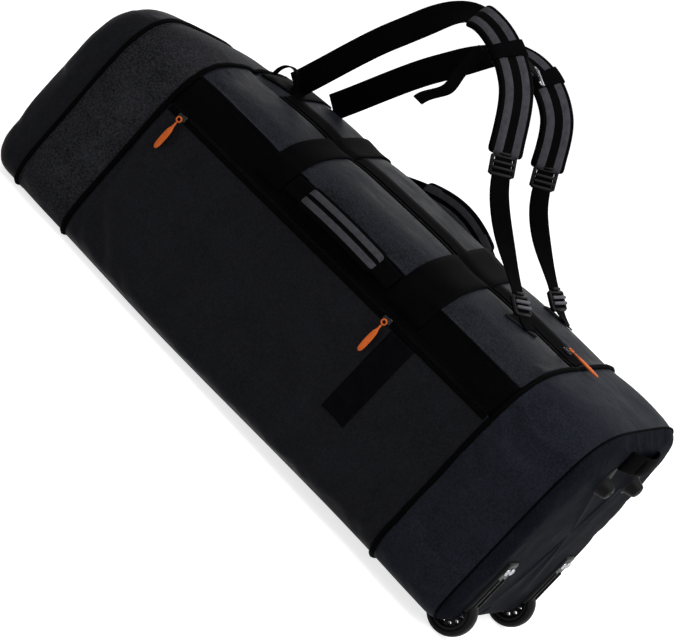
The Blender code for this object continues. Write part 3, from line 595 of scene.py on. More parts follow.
def long_strip(shape, start, end, angle_at, width, steps, lift, thick, across=4):
    """Strip along the bag, centred on a girth angle that may depend on the station."""
    rows = []
    for step in range(steps + 1):
        station = lerp(start, end, step / steps)
        centre = angle_at(station)
        reach = (Kit.skin.at(station, centre + 0.004) - Kit.skin.at(station, centre - 0.004)).length / 0.008
        row = []
        for j in range(across + 1):
            row.append((station, centre + width * (0.5 - j / across) / max(reach, 0.02)))
        rows.append(row)
    laid(shape, rows, lift, thick)


# Shell

COLUMNS = (("bottom", 26), ("near_side", 36), ("near_band", 8), ("lid", 60), ("far_band", 8),
           ("far_side", 36))
BASE_ANGLE = math.radians(17)


def shell_rows(skin):
    """Rows of the shell from the middle of the head face to the middle of the end face."""
    head = [("head", step / 20) for step in range(20)]
    arc = [skin.head_round * (1 - math.cos(math.pi / 2 * step / 8)) for step in range(8)]
    knots = [skin.head_round, skin.cap_seam, skin.band_seam, skin.gusset_seam, skin.length - skin.end_round]
    body = []
    for low, high in zip(knots, knots[1:]):
        count = max(2, round((high - low) / 0.007))
        body += [lerp(low, high, step / count) for step in range(count)]
    tail = [skin.length - skin.end_round * (1 - math.sin(math.pi / 2 * step / 7)) for step in range(8)]
    nearest = min(range(8), key=lambda i: abs(tail[i] - skin.end_seam))
    tail[nearest] = skin.end_seam
    end = [("end", 1 - step / 20) for step in range(1, 21)]
    return head + [("x", station) for station in arc + body + tail] + end


def shell_columns(skin, station):
    """Girth angles at a station, evenly spread in each panel."""
    keys = [-BASE_ANGLE, BASE_ANGLE, skin.zip(station, NEAR), skin.zip(station, NEAR, skin.shoulder),
            skin.zip(station, FAR, skin.shoulder), skin.zip(station, FAR), 2 * math.pi - BASE_ANGLE]
    angles = []
    for (_, count), low, high in zip(COLUMNS, keys, keys[1:]):
        low, high = skin.warp_of(low), skin.warp_of(high)
        if high < low:
            high += 4
        samples = [lerp(low, high, step / 40) for step in range(41)]
        points = [skin.at(station, skin.angle_of(warp)) for warp in samples]
        reach = [0.0]
        for first, second in zip(points, points[1:]):
            reach.append(reach[-1] + (second - first).length)
        spot = 0
        for step in range(count):
            goal = reach[-1] * step / count
            while reach[spot + 1] < goal:
                spot += 1
            share = (goal - reach[spot]) / max(reach[spot + 1] - reach[spot], 1e-9)
            angles.append(skin.angle_of(lerp(samples[spot], samples[spot + 1], share)))
    return angles


def shell_puff(skin, kind, value, angle, panel):
    """Height of the sewn form over the plain skin: pillowed panels, a channel at the lid zip, a few folds."""
    side = min(max((abs(math.sin(angle / 2)) - 0.25) / 0.3, 0.0), 1.0)
    if kind == "head":
        return 0.0005 * (1 - value ** 2)
    if kind == "end":
        place = skin.at(skin.length, angle)
        fold = bell(place.y * 0.8 + place.z * 0.5, 0.06, 0.02)
        fold += bell(place.y * 0.9 - place.z * 0.3, -0.05, 0.016)
        return 0.003 * (1 - value ** 2) + 0.0022 * fold * value * (1 - value) * 4
    if value < skin.cap_seam:
        return 0.006 * side * (1 - (value / skin.cap_seam) ** 3)
    if value < skin.band_seam:
        return 0.005 * side * math.sin(math.pi * (value - skin.cap_seam) / (skin.band_seam - skin.cap_seam))
    if value > skin.gusset_seam:
        share = min((value - skin.gusset_seam) / (skin.end_seam - skin.gusset_seam), 1)
        return 0.004 * side * math.sin(math.pi * share)
    span = math.sin(math.pi * (value - skin.band_seam) / (skin.gusset_seam - skin.band_seam))
    if panel == "lid":
        y = -skin.at(value, angle).y
        straps = bell(value, 0.300, 0.030) + bell(value, 0.535, 0.036)
        return 0.004 * span ** 0.5 - 0.005 * bell(y, -LID_ZIP_Y, 0.014) - 0.004 * min(straps, 1.0)
    if panel in ("near_side", "far_side"):
        below = skin.zip_height(value, NEAR if panel == "near_side" else FAR) - skin.at(value, angle).z
        return 0.003 * span ** 0.5 * side * ramp((below - 0.012) / 0.05)
    return 0.0


def panel_at(skin, kind, value, name):
    """Panel that a face belongs to, by its row and the panel of its column."""
    if kind == "head" or kind == "x" and value < skin.cap_seam - 1e-6:
        return "head_cap"
    if kind == "end" or value >= skin.end_seam - 1e-6:
        return "end_panel"
    if value < skin.band_seam - 1e-6:
        return "head_band"
    return name if value < skin.gusset_seam - 1e-6 else "gusset"


def build_shell():
    """One sewn shell, settled as cloth between its pinned seams, and the names of its regions."""
    skin = Kit.skin
    rows = shell_rows(skin)
    names = [name for name, count in COLUMNS for _ in range(count)]
    columns = len(names)
    ends = {"head": (0.0, shell_columns(skin, 0.0)), "end": (skin.length, shell_columns(skin, skin.length))}
    middles = {}
    for key, (face, _) in ends.items():
        middles[key] = skin.place(face, 0, (skin.base(face) + skin.top(face)) / 2)
    grid = []
    for kind, value in rows:
        station, angles = (value, shell_columns(skin, value)) if kind == "x" else ends[kind]
        line = [skin.at(station, angle) for angle in angles]
        if kind != "x":
            line = [middles[kind] + (point - middles[kind]) * value for point in line]
        around = [0.0]
        for first, second in zip(line, line[1:] + line[:1]):
            around.append(around[-1] + (second - first).length)
        grid.append((kind, value, angles, line, around))
    along = [0.0]
    for first, second in zip(grid, grid[1:]):
        along.append(along[-1] + (first[3][columns // 4] - second[3][columns // 4]).length)
    shape = bmesh.new()
    layer = shape.loops.layers.uv.verify()
    region = shape.faces.layers.int.new("region")
    regions = ["head_cap", "head_band", "gusset", "end_panel"] + [name for name, _ in COLUMNS]
    last = len(grid) - 1
    made = bmesh.ops.create_grid(shape, x_segments=last, y_segments=columns, size=0.5)["verts"]
    spots = {vert: (round((vert.co.x + 0.5) * last), round((vert.co.y + 0.5) * columns)) for vert in made}
    for face in shape.faces:
        i = min(spots[loop.vert][0] for loop in face.loops)
        j = min(spots[loop.vert][1] for loop in face.loops)
        face[region] = regions.index(panel_at(skin, grid[i][0], grid[i][1], names[j]))
        for loop in face.loops:
            a, b = spots[loop.vert]
            loop[layer].uv = (along[a], grid[a][4][b])
    for vert, (i, j) in spots.items():
        vert.co = grid[i][3][j % columns]
    bmesh.ops.remove_doubles(shape, verts=made, dist=1e-6)
    bmesh.ops.recalc_face_normals(shape, faces=shape.faces[:])
    shape.normal_update()
    seams = (skin.cap_seam, skin.band_seam, skin.gusset_seam, skin.end_seam)
    pinned = []
    for vert, (i, j) in spots.items():
        if not vert.is_valid:
            continue
        kind, value, angles = grid[i][:3]
        j %= columns
        station = value if kind == "x" else ends[kind][0]
        seam = kind == "x" and min(abs(value - seam) for seam in seams) < 1e-6
        edge = kind == "x" and skin.band_seam <= value <= skin.gusset_seam and names[j] != names[j - 1]
        low = vert.co.z < skin.base(station) + 0.012
        vert.co += vert.normal * shell_puff(skin, kind, value, angles[j], names[j])
        if seam or edge or low or kind != "x":
            pinned.append(vert)
    shape.verts.index_update()
    keep = [vert.index for vert in pinned]
    mesh = bpy.data.meshes.new("shell_cloth")
    shape.to_mesh(mesh)
    shape.free()
    obj = bpy.data.objects.new("shell_cloth", mesh)
    bpy.context.scene.collection.objects.link(obj)
    settle(obj, keep)
    shape = bmesh.new()
    shape.from_mesh(mesh)
    bpy.data.objects.remove(obj, do_unlink=True)
    Kit.surface = BVHTree.FromBMesh(shape)
    return shape, regions


def settle(obj, pinned):
    """Lets the cloth wrinkle and bulge between its pins, and caps how far it moves."""
    cloth_settings = bpy.context.scene.duffel_cloth
    rest = [vert.co.copy() for vert in obj.data.vertices]
    group = obj.vertex_groups.new(name="pins")
    group.add(pinned, 1.0, "REPLACE")
    modifier = obj.modifiers.new("Cloth", "CLOTH")
    settings = modifier.settings
    settings.quality = 5
    settings.mass = 0.25
    settings.tension_stiffness = 20
    settings.compression_stiffness = 12
    settings.shear_stiffness = 8
    settings.bending_stiffness = 0.6
    settings.vertex_group_mass = "pins"
    settings.use_pressure = True
    settings.uniform_pressure_force = cloth_settings.pressure
    settings.shrink_min = -cloth_settings.growth
    settings.effector_weights.gravity = 0.4
    modifier.point_cache.frame_end = cloth_settings.frames
    scene = bpy.context.scene
    for step in range(1, cloth_settings.frames + 1):
        scene.frame_set(step)
    result = obj.evaluated_get(bpy.context.evaluated_depsgraph_get()).to_mesh()
    moved = [vert.co.copy() for vert in result.vertices]
    obj.modifiers.remove(modifier)
    scene.frame_set(1)
    normals = [vert.normal.copy() for vert in obj.data.vertices]
    for vert, before, after, out in zip(obj.data.vertices, rest, moved, normals):
        shift = after - before
        shift -= out * min(shift.dot(out) + 0.002, 0.0)
        if shift.length > cloth_settings.reach:
            shift *= cloth_settings.reach / shift.length
        vert.co = before + shift
    for vert in obj.data.vertices:
        vert.co.z = max(vert.co.z, FLOOR_GAP)


PANELS = (
    ("head_cap", "panel", "coated_polyester", "shell", "head_end_cap"),
    ("head_band", "heather", "heather_polyester", "shell", "head_pocket_band"),
    ("bottom", "panel", "coated_polyester", "shell", "bottom_panel"),
    ("near_side", "panel", "coated_polyester", "shell", "near_side_panel"),
    ("far_side", "panel", "coated_polyester", "shell", "far_side_panel"),
    ("gusset", "end", "lid_polyester", "shell", "wheel_end_gusset"),
    ("end_panel", "end_face", "lid_polyester", "shell", "wheel_end_panel"),
    ("near_band", "shoulder", "black_webbing", "lid", "near_shoulder_band"),
    ("far_band", "shoulder", "black_webbing", "lid", "far_shoulder_band"),
    ("lid", "lid", "lid_polyester", "lid", "lid_panel"),
)


def wheel_centre(side):
    low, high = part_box(f"{side}_tyre")
    return (low + high) / 2


def in_well(point, centres):
    """True at the corner over a wheel, where the cloth is cut away."""
    for centre in centres:
        if abs(point.y - centre.y) < 0.024 and (point.x - centre.x) - (point.z - centre.z) > 0.010:
            return True
    return False


def cut_panels(shape, regions):
    """Cuts the shell into its panels and opens the corners over the wheels."""
    centres = [wheel_centre(side) for side in ("near", "far")]
    for name, outside, slot, body, node in PANELS:
        piece = shape.copy()
        region = piece.faces.layers.int["region"]
        index = regions.index(name)
        drop = [face for face in piece.faces
                if face[region] != index or in_well(face.calc_center_median(), centres)]
        bmesh.ops.delete(piece, geom=drop, context="FACES")
        sides = [finish(outside), finish("lining")]
        obj = make(f"cloth_{name}", piece, sides, body, (node,), turn=False)
        modify(obj, "SUBSURF", levels=1, render_levels=1)
        modify(obj, "SOLIDIFY", thickness=CLOTH_THICKNESS, offset=-1.0, material_offset=1,
               material_offset_rim=0)
    shape.free()


def piping(name, station, radius):
    """Round bound seam all the way round the girth."""
    skin = Kit.skin
    shape = bmesh.new()
    loops = []
    for step in range(150):
        angle = skin.angle_of(lerp(-1.0, 3.0, step / 150))
        place, up = on_skin(station, angle, 0.0006)
        if place.z < skin.base(station) + radius:
            place.z = max(place.z, radius + FLOOR_GAP)
        frame_out = up * radius
        frame_side = AHEAD * radius
        loops.append([place + frame_side * math.cos(a) + frame_out * math.sin(a)
                      for a in [2 * math.pi * k / 8 for k in range(8)]])
    for loop in loops:
        for point in loop:
            point.z = max(point.z, FLOOR_GAP)
    rings(shape, loops, closed=True)
    make(name, shape, finish("binding"), "shell")


def coil(shape, start, end, angle_at, shift, lift):
    """Zip coil: a fine spiral of monofilament along a line."""
    turns = int((end - start) / 0.0022)
    spots = []
    for step in range(turns + 1):
        station = lerp(start, end, step / turns)
        place, up = on_skin(station, angle_at(station), lift)
        spots.append((place, AHEAD.cross(up).normalized(), up))
    frames = []
    per_turn = 6
    for step in range(turns * per_turn):
        index, part = divmod(step, per_turn)
        first, second = spots[index], spots[index + 1]
        share = part / per_turn
        swing = 2 * math.pi * share
        place = first[0].lerp(second[0], share) + first[1] * (shift + 0.0013 * math.cos(swing))
        place += first[2] * 0.0007 * math.sin(swing)
        frames.append((place, first[2], first[1]))
    sweep(shape, frames, oval(0.00035, 0.00035, 4))


def side_zip():
    """Side zip: a tape and coil on the shell, a matching tape and coil on the lid."""
    skin = Kit.skin
    start, end = skin.band_seam + 0.004, skin.gusset_seam - 0.004
    halves = (("zip_tape_lower", -1, "shell", ("near_zip_tape",)), ("zip_tape_upper", 1, "lid", ()))
    for name, sign, body, nodes in halves:
        shape = bmesh.new()
        long_strip(shape, start, end, lambda s: skin.zip(s, NEAR, sign * 0.0045), 0.0075, 110, 0.0003, 0.0008)
        make(name, shape, finish("web6"), body, nodes)
        shape = bmesh.new()
        coil(shape, start, end, lambda s: skin.zip(s, NEAR), -sign * 0.0009, 0.0012)
        make(name.replace("tape", "coil"), shape, finish("plastic"), body)


def lid_trim():
    """Lid zip, webbing bands, yoke and hang loop."""
    skin = Kit.skin
    line = skin.deck_angle(LID_ZIP_Y)
    start, end = LID_ZIP_START, skin.gusset_seam - 0.003
    shape = bmesh.new()
    long_strip(shape, start, end, lambda s: line, 0.030, 110, 0.0003, 0.0010, across=6)
    make("lid_zip_tape_cloth", shape, finish("web30"), "lid", ("lid_zip_tape",))
    shape = bmesh.new()
    coil(shape, start, end, lambda s: line, 0.0009, 0.0018)
    make("lid_zip_coil", shape, finish("plastic"), "lid")
    shape = bmesh.new()
    for side in (-1, 1):
        frames = []
        for step in range(121):
            station = lerp(start, end, step / 120)
            angle = skin.deck_angle(LID_ZIP_Y + side * 0.0070)
            place, up = on_skin(station, angle, 0.0004)
            frames.append((place, AHEAD.cross(up).normalized(), up))
        sweep(shape, frames, oval(0.0036, 0.0020, 10))
    make("lid_zip_welts", shape, finish("shoulder"), "lid")
    bands = (("lid_band_a", 0.305, 0.290, 0.038, "web38", "lid_strap_a"),
             ("lid_band_b", 0.545, 0.520, 0.060, "web60", "lid_strap_b"))
    for name, near, far, width, finish_name, node in bands:
        shape = bmesh.new()
        low, high = skin.zip(near, NEAR, 0.014), skin.zip(far, FAR, 0.014)
        girth_strip(shape, lambda t: lerp(near, far, ramp(t)), width, low, high, 80, 0.0008, 0.0022, across=8)
        make(name, shape, finish(finish_name), "lid", (node,))
    shape = bmesh.new()
    rows = []
    for step in range(13):
        station = lerp(skin.band_seam + 0.003, 0.200, step / 12)
        near, far = lerp(-0.006, 0.012, step / 12), lerp(0.130, 0.118, step / 12)
        rows.append([(station, skin.deck_angle(lerp(near, far, j / 14))) for j in range(15)][::-1])
    laid(shape, rows, 0.0003, 0.0020)
    make("harness_yoke_patch", shape, finish("shoulder"), "lid", ("harness_yoke",))
    foot, _ = on_skin(0.163, skin.deck_angle(0.020), 0.0022)
    frames = []
    for step in range(31):
        swing = math.pi * step / 30
        place = foot + Vector((-0.017 * math.cos(swing), 0, 0.024 * math.sin(swing) ** 0.8))
        out = Vector((-math.cos(swing), 0, math.sin(swing)))
        frames.append((place, LEFT, out))
    shape = bmesh.new()
    sweep(shape, frames, flat(0.014, 0.002))
    make("hang_loop_webbing", shape, finish("web14"), "lid", ("hang_loop",))


def side_leg():
    """Webbing leg sewn down the near side under the zip."""
    skin = Kit.skin
    shape = bmesh.new()
    rows = []
    for step in range(31):
        height = lerp(0.105, skin.zip_height(LEG_STATION, NEAR) - 0.009, step / 30)
        angle = skin.side_angle(LEG_STATION, height)
        rows.append([(LEG_STATION + LEG_WIDTH * (j / 8 - 0.5), angle) for j in range(9)])
    laid(shape, rows, 0.0003, 0.0018)
    make("side_leg_webbing", shape, finish("leg"), "shell", ("side_webbing_leg",))


def zip_pull(name, pin, along, across, body, node):
    """Moulded pull: ring eye round the slider's pin, thin neck and long rounded grip."""
    out = across.cross(along).normalized()
    eye = pin + along * 0.0034
    shape = bmesh.new()
    loops = []
    for step in range(24):
        swing = 2 * math.pi * step / 24
        ray = along * math.cos(swing) + across * math.sin(swing)
        centre = eye + ray * 0.0034
        loops.append([centre + ray * 0.0012 * math.cos(a) + out * 0.0012 * math.sin(a)
                      for a in [2 * math.pi * k / 8 for k in range(8)]])
    rings(shape, loops, closed=True)
    profile = ((0.0036, 0.0013, 0.0010), (0.0100, 0.0013, 0.0011), (0.0130, 0.0019, 0.0014),
               (0.0165, 0.0034, 0.0018), (0.0220, 0.0041, 0.0020), (0.0310, 0.0043, 0.0020),
               (0.0400, 0.0041, 0.0019), (0.0445, 0.0034, 0.0016), (0.0468, 0.0021, 0.0011),
               (0.0476, 0.0006, 0.0004))
    loops = []
    for reach, wide, deep in profile:
        loops.append([eye + along * reach + across * a + out * b for a, b in oval(wide, deep, 14, 2.6)])
    rings(shape, loops)
    obj = make(name, shape, finish("orange"), body, (node,))
    modify(obj, "SUBSURF", levels=1, render_levels=1)


def zip_slider(name, seat, along, out, body, node):
    """Slider body with a waist, two wings and the bridge that holds the pull."""
    across = along.cross(out).normalized()
    shape = bmesh.new()
    profile = ((-0.0065, 0.0026, 0.0010), (-0.0058, 0.0036, 0.0020), (-0.0010, 0.0032, 0.0023),
               (0.0030, 0.0044, 0.0024), (0.0058, 0.0042, 0.0020), (0.0066, 0.0030, 0.0010))
    loops = []
    for reach, wide, deep in profile:
        centre = seat + along * reach + out * 0.0023
        loops.append([centre + across * a + out * b for a, b in oval(wide, deep, 16, 3.0)])
    rings(shape, loops)
    frames = []
    for step in range(15):
        swing = math.pi * step / 14
        place = seat + along * 0.0045 * math.cos(swing) + out * (0.0036 + 0.0026 * math.sin(swing))
        frames.append((place, across, along * math.cos(swing) + out * math.sin(swing)))
    sweep(shape, frames, oval(0.0012, 0.0006, 8))
    make(name, shape, finish("dark_metal"), body, (node,))


def zips():
    skin = Kit.skin
    for index in (1, 2):
        low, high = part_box(f"side_slider_{index}")
        seat = (low + high) / 2
        seat.y = high.y - 0.0004
        zip_slider(f"slider_{index}_body", seat, Vector((1, 0, skin.zip_slope)).normalized(), -LEFT,
                   f"slider_{index}", f"side_slider_{index}")
        low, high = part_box(f"side_pull_{index}")
        pin = Vector(((low.x + high.x) / 2, (low.y + high.y) / 2, high.z - 0.0008))
        zip_pull(f"pull_{index}_grip", pin, -UP, AHEAD, f"pull_{index}", f"side_pull_{index}")
    low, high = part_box("lid_slider")
    seat = (low + high) / 2
    seat.z = low.z + 0.0004
    zip_slider("slider_3_body", seat, Vector((1, 0, skin.slope)).normalized(), UP, "slider_3", "lid_slider")
    low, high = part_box("lid_pull")
    pin = Vector((low.x + 0.0008, (low.y + high.y) / 2, (low.z + high.z) / 2))
    zip_pull("pull_3_grip", pin, AHEAD, LEFT, "pull_3", "lid_pull")


# Handles

def grip_section(share, wide, deep, crease):
    """Padded wrap: two lobes with a sewn crease along the middle and rounded ends."""
    aside = abs(share - 0.5)
    end = 1.0
    if aside > 0.45:
        end = math.sqrt(max(1 - max(aside * 2 - 0.90, 0.0) ** 2 / 0.0101, 0.0))
    scale = 0.55 + 0.45 * end
    steps = (0.0, 0.07, 0.16, 0.30, 0.46, 0.60, 0.68, 0.80, 0.90, 0.97)
    quarter = [(a, (1 - a ** 3.6) ** (1 / 3.6)) for a in steps]
    outline = quarter + [(1.0, 0.0)] + [(a, -b) for a, b in quarter[::-1]]
    outline += [(-a, -b) for a, b in quarter[1:]] + [(-1.0, 0.0)] + [(-a, b) for a, b in quarter[:0:-1]]
    points = []
    for a, b in outline:
        lobe = 1 - crease * bell(a, 0.0, 0.10) - 0.18 * abs(a) ** 6
        points.append((a * wide * (0.86 + 0.14 * end), b * deep * scale * lobe))
    return points


def handle_grip(name, frames, wide, deep, body, node):
    count = len(frames) - 1
    shape = bmesh.new()
    sweep(shape, frames, lambda i: grip_section(i / count, wide, deep, 0.30))
    for face in shape.faces:
        middle = face.calc_center_median()
        nearest = min(frames, key=lambda f: (f[0] - middle).length_squared)
        aside = abs((middle - nearest[0]).dot(nearest[1]))
        edge = min((middle - frames[0][0]).length, (middle - frames[-1][0]).length)
        face.material_index = 1 if aside > wide * 0.66 or aside < wide * 0.13 or edge < 0.004 else 0
    obj = make(name, shape, [finish("mesh"), finish("binding")], body, (node,))
    modify(obj, "SUBSURF", levels=1, render_levels=1)


def carry_handles():
    skin = Kit.skin
    start, end = HANDLE_START, HANDLE_END
    middle = (start + end) / 2
    origin = skin.at(middle, skin.zip(middle, NEAR, skin.shoulder), 0.0018)
    low = skin.at(middle, skin.zip(middle, NEAR, skin.shoulder - 0.026), 0.0018)
    width = (origin - low).normalized()
    face = Vector((0, -width.z, width.y))

    def near(shift):
        share = (shift + middle - start) / (end - start)
        out = 0.0015 + 0.0115 * math.sin(math.pi * min(max(share, 0.0), 1.0))
        return origin - width * 0.0176 + face * out + Vector((shift, 0, skin.zip_slope * shift)), width, face

    far_origin = skin.at(middle, skin.zip(middle, FAR, skin.shoulder), 0.0018)

    def far(shift):
        share = (shift + middle - start) / (end - start)
        lift = 0.013 + 0.027 * math.sin(math.pi * min(max(share, 0.0), 1.0))
        return far_origin + Vector((shift, 0.0015, lift)), -UP, LEFT

    for side, at in (("near", near), ("far", far)):
        shape = bmesh.new()
        sweep(shape, [at(lerp(start - middle, end - middle, i / 48)) for i in range(49)], flat(0.026, 0.003))
        make(f"{side}_handle_strap", shape, finish("web26"), f"{side}_handle",
             (f"{side}_handle_webbing",))
        grip = [at(lerp(-GRIP_HALF, GRIP_HALF, i / 40)) for i in range(41)]
        handle_grip(f"{side}_handle_wrap", grip, 0.0174, 0.0054, f"{side}_handle", f"{side}_handle_grip")


def end_handles():
    """Webbing loops on the head face and the wheel-end face."""
    skin = Kit.skin
    handles = (("head_handle", 0.0, -1, 0.022, 0.190, 0.135, 0.038, "web38", "head_pull_handle"),
               ("end_handle", skin.length, 1, 0.017, 0.110, 0.304, 0.030, "web30", "wheel_end_handle"))
    for body, face, sign, reach, span, height, width, finish_name, node in handles:
        frames = []
        for step in range(49):
            share = step / 48
            out = 0.0021 + (reach - 0.0036) * math.sin(math.pi * share) ** 0.7
            place = skin.place(face + sign * out, span * (share - 0.5), height)
            frames.append((place, UP * sign, AHEAD * sign))
        shape = bmesh.new()
        sweep(shape, frames, flat(width, 0.003))
        make(f"{body}_strap", shape, finish(finish_name), body, (node,))
        shape = bmesh.new()
        middle = frames[13:36]
        sweep(shape, middle, lambda i: [(a, b * (1 - 0.5 * (abs(i / 22 - 0.5) * 2) ** 6))
                                        for a, b in oval(width * 0.44, 0.0040, 20, 2.6)])
        obj = make(f"{body}_wrap", shape, finish("binding"), body)


# Harness

def arch(root, apex, foot):
    """Smooth path of a shoulder strap from the yoke over its apex and down to the lid."""
    skin = Kit.skin
    start = skin.at(root[0], skin.deck_angle(root[1])) + UP * 0.0124
    end = skin.at(foot[0] - 0.011, skin.deck_angle(foot[1])) + UP * 0.010
    top = skin.place(apex[0], (root[1] + foot[1]) / 2, apex[1])
    knots = [start, start.lerp(top, 0.55) + Vector((-0.010, 0, 0.010)), top,
             top.lerp(end, 0.26) + Vector((0.020, 0, 0.032)),
             top.lerp(end, 0.60) + Vector((0, 0, -0.008)), end]
    knots = [knots[0] * 2 - knots[1]] + knots + [knots[-1] * 2 - knots[-2]]
    points = []
    for index in range(1, len(knots) - 2):
        before, first, second, after = knots[index - 1:index + 3]
        for step in range(16):
            t = step / 16
            points.append(0.5 * (2 * first + (second - before) * t
                                 + (2 * before - 5 * first + 4 * second - after) * t * t
                                 + (3 * first - before - 3 * second + after) * t ** 3))
    points.append(knots[-2])
    return points


class Path:
    """Strap path that can be read at any share of its length."""

    def __init__(self, points):
        self.points = points
        self.reach = [0.0]
        for first, second in zip(points, points[1:]):
            self.reach.append(self.reach[-1] + (second - first).length)
        self.length = self.reach[-1]

    def at(self, share):
        goal = share * self.length
        if goal <= 0:
            return self.points[0] + (self.points[1] - self.points[0]).normalized() * goal
        for index in range(len(self.points) - 1):
            if self.reach[index + 1] >= goal:
                span = self.reach[index + 1] - self.reach[index]
                return self.points[index].lerp(self.points[index + 1], (goal - self.reach[index]) / span)
        return self.points[-1]

    def frame(self, share):
        """Place, width direction and face direction at a share of the path."""
        along = (self.at(min(share + 0.006, 1.0)) - self.at(share - 0.006)).normalized()
        outward = Vector((-along.z, 0, along.x)).normalized()
        angle = strap_turn(share)
        across = (outward * math.cos(angle) + LEFT * math.sin(angle)).normalized()
        across = (across - along * across.dot(along)).normalized()
        return self.at(share), across, across.cross(along).normalized()


def strap_turn(share):
    """How far the strap's face is turned out of the plane of its arch."""
    turn = lerp(math.radians(8), math.radians(52), ramp((share - 0.28) / 0.16))
    turn = lerp(turn, math.radians(28), ramp((share - 0.66) / 0.14))
    return lerp(turn, math.radians(78), ramp((share - 0.80) / 0.16))


def frames_between(path, start, end, count):
    return [path.frame(lerp(start, end, i / count)) for i in range(count + 1)]


def pad_section(index, count):
    """Stitched pad: rounded edges, two mesh stripes and a webbing line between them."""
    share = index / count
    end = math.sqrt(max(1 - max(abs(share - 0.5) * 2 - 0.92, 0.0) ** 2 / 0.0065, 0.05))
    points = []
    for a, b in oval(0.025, 0.0055, 48, 3.2):
        dip = 0.30 * (bell(abs(a), 0.0075, 0.0014) + bell(abs(a), 0.0190, 0.0014))
        points.append((a * (0.8 + 0.2 * end), b * (1 - dip) * end))
    return points


def shoulder_pad(side, path):
    shape = bmesh.new()
    count = 60
    frames = frames_between(path, PAD_START, PAD_END, count)
    sweep(shape, frames, lambda i: pad_section(i, count))
    for face in shape.faces:
        middle = face.calc_center_median()
        place, across, _ = min(frames, key=lambda f: (f[0] - middle).length_squared)
        aside = abs((middle - place).dot(across))
        face.material_index = 0 if 0.0078 < aside < 0.0186 else 1
    obj = make(f"{side}_pad", shape, [finish("mesh"), finish("shoulder")], "lid",
               (f"{side}_shoulder_pad",))
    modify(obj, "SUBSURF", levels=1, render_levels=1)
    shape = bmesh.new()
    line = frames_between(path, PAD_START + 0.002, PAD_END - 0.002, count)
    sweep(shape, [(place + out * 0.0052, across, out) for place, across, out in line], flat(0.014, 0.0016))
    make(f"{side}_pad_webbing", shape, finish("web14"), "lid")


def bar(shape, start, end, radius, out, deep=None, material=0):
    """Rounded moulded bar between two points."""
    along = (end - start).normalized()
    across = along.cross(out).normalized()
    up = across.cross(along).normalized()
    reach = (end - start).length
    deep = radius if deep is None else deep
    loops = []
    for place, scale in ((0.0, 0.45), (0.25, 0.82), (0.7, 1.0)):
        loops.append((place * radius, scale))
    loops += [(reach - place, scale) for place, scale in reversed(loops)]
    section = oval(radius, deep, 12, 2.6)
    rings_of = []
    for place, scale in loops:
        centre = start + along * place
        rings_of.append([centre + across * a * scale + up * b * scale for a, b in section])
    rings(shape, rings_of, material=material)


def ladder_lock(name, place, along, across, out, node, pale):
    """Ladder-lock buckle: two side rails, cross bars and a thumb lip."""
    shape = bmesh.new()
    half, reach = 0.0155, 0.0125
    for sign in (-1, 1):
        rail = place + across * sign * half
        bar(shape, rail - along * reach, rail + along * reach, 0.0024, out, 0.0030)
    bars = ((-0.0115, 0.0024, False), (-0.0035, 0.0022, True), (0.0040, 0.0022, True),
            (0.0115, 0.0026, False))
    for shift, radius, raised in bars:
        lift = out * ((0.0042 if pale else 0.0026) if raised else 0.0)
        middle = place + along * shift
        bar(shape, middle - across * half + lift, middle + across * half + lift, radius, out,
            material=1 if raised and pale else 0)
    lip = place - along * 0.0150
    bar(shape, lip - across * 0.009 + out * 0.0030, lip + across * 0.009 + out * 0.0030, 0.0018, out)
    make(name, shape, [finish("plastic"), finish("pale")], "lid", (node,))


def strap_tab(side, foot):
    """Triangular stitched tab under the lower ladder-lock."""
    skin = Kit.skin
    shape = bmesh.new()
    rows = []
    for step in range(15):
        share = step / 14
        station = foot[0] + lerp(-0.022, 0.020, share)
        half = 0.022 * (1 - 0.92 * share)
        rows.append([(station, skin.deck_angle(foot[1] + half * (2 * j / 8 - 1))) for j in range(9)][::-1])
    laid(shape, rows, 0.0006, 0.0018)
    make(f"{side}_tab", shape, finish("tab"), "lid", (f"{side}_strap_tab",))


def shoulder_strap(side, path, foot):
    shape = bmesh.new()
    sweep(shape, frames_between(path, -0.018, 0.410, 70), flat(0.038, 0.0024))
    make(f"{side}_upper_strap", shape, finish("web38"), "lid", (f"{side}_upper_webbing",))
    shoulder_pad(side, path)
    place, across, out = path.frame(ADJUSTER)
    along = (path.at(0.735) - path.at(0.700)).normalized()
    ladder_lock(f"{side}_adjuster_buckle", place, along, across, -out, f"{side}_adjuster", False)
    shape = bmesh.new()
    sweep(shape, frames_between(path, 0.692, 0.985, 54), flat(0.025, 0.0022))
    make(f"{side}_lower_strap", shape, finish("web25"), "lid", (f"{side}_lower_webbing",))
    place, across, out = path.frame(LOWER_LOCK)
    along = (path.at(0.998) - path.at(0.965)).normalized()
    ladder_lock(f"{side}_lower_buckle", place, along, across, -out, f"{side}_ladder_lock", True)
    shape = bmesh.new()
    tail = place - out * 0.0006
    ground, up = on_skin(foot[0] + 0.010, Kit.skin.deck_angle(foot[1]), 0.0026)
    flat_across = (across - up * across.dot(up)).normalized()
    flat_out = up if out.dot(up) > 0 else -up
    frames = []
    for i in range(13):
        share = i / 12
        place = tail.lerp(ground, share) + out * 0.002 * math.sin(math.pi * share)
        width = across.lerp(flat_across, share).normalized()
        frames.append((place, width, out.lerp(flat_out, share).normalized()))
    sweep(shape, frames, flat(0.025, 0.0018))
    make(f"{side}_anchor_strap", shape, finish("web25"), "lid")
    strap_tab(side, foot)


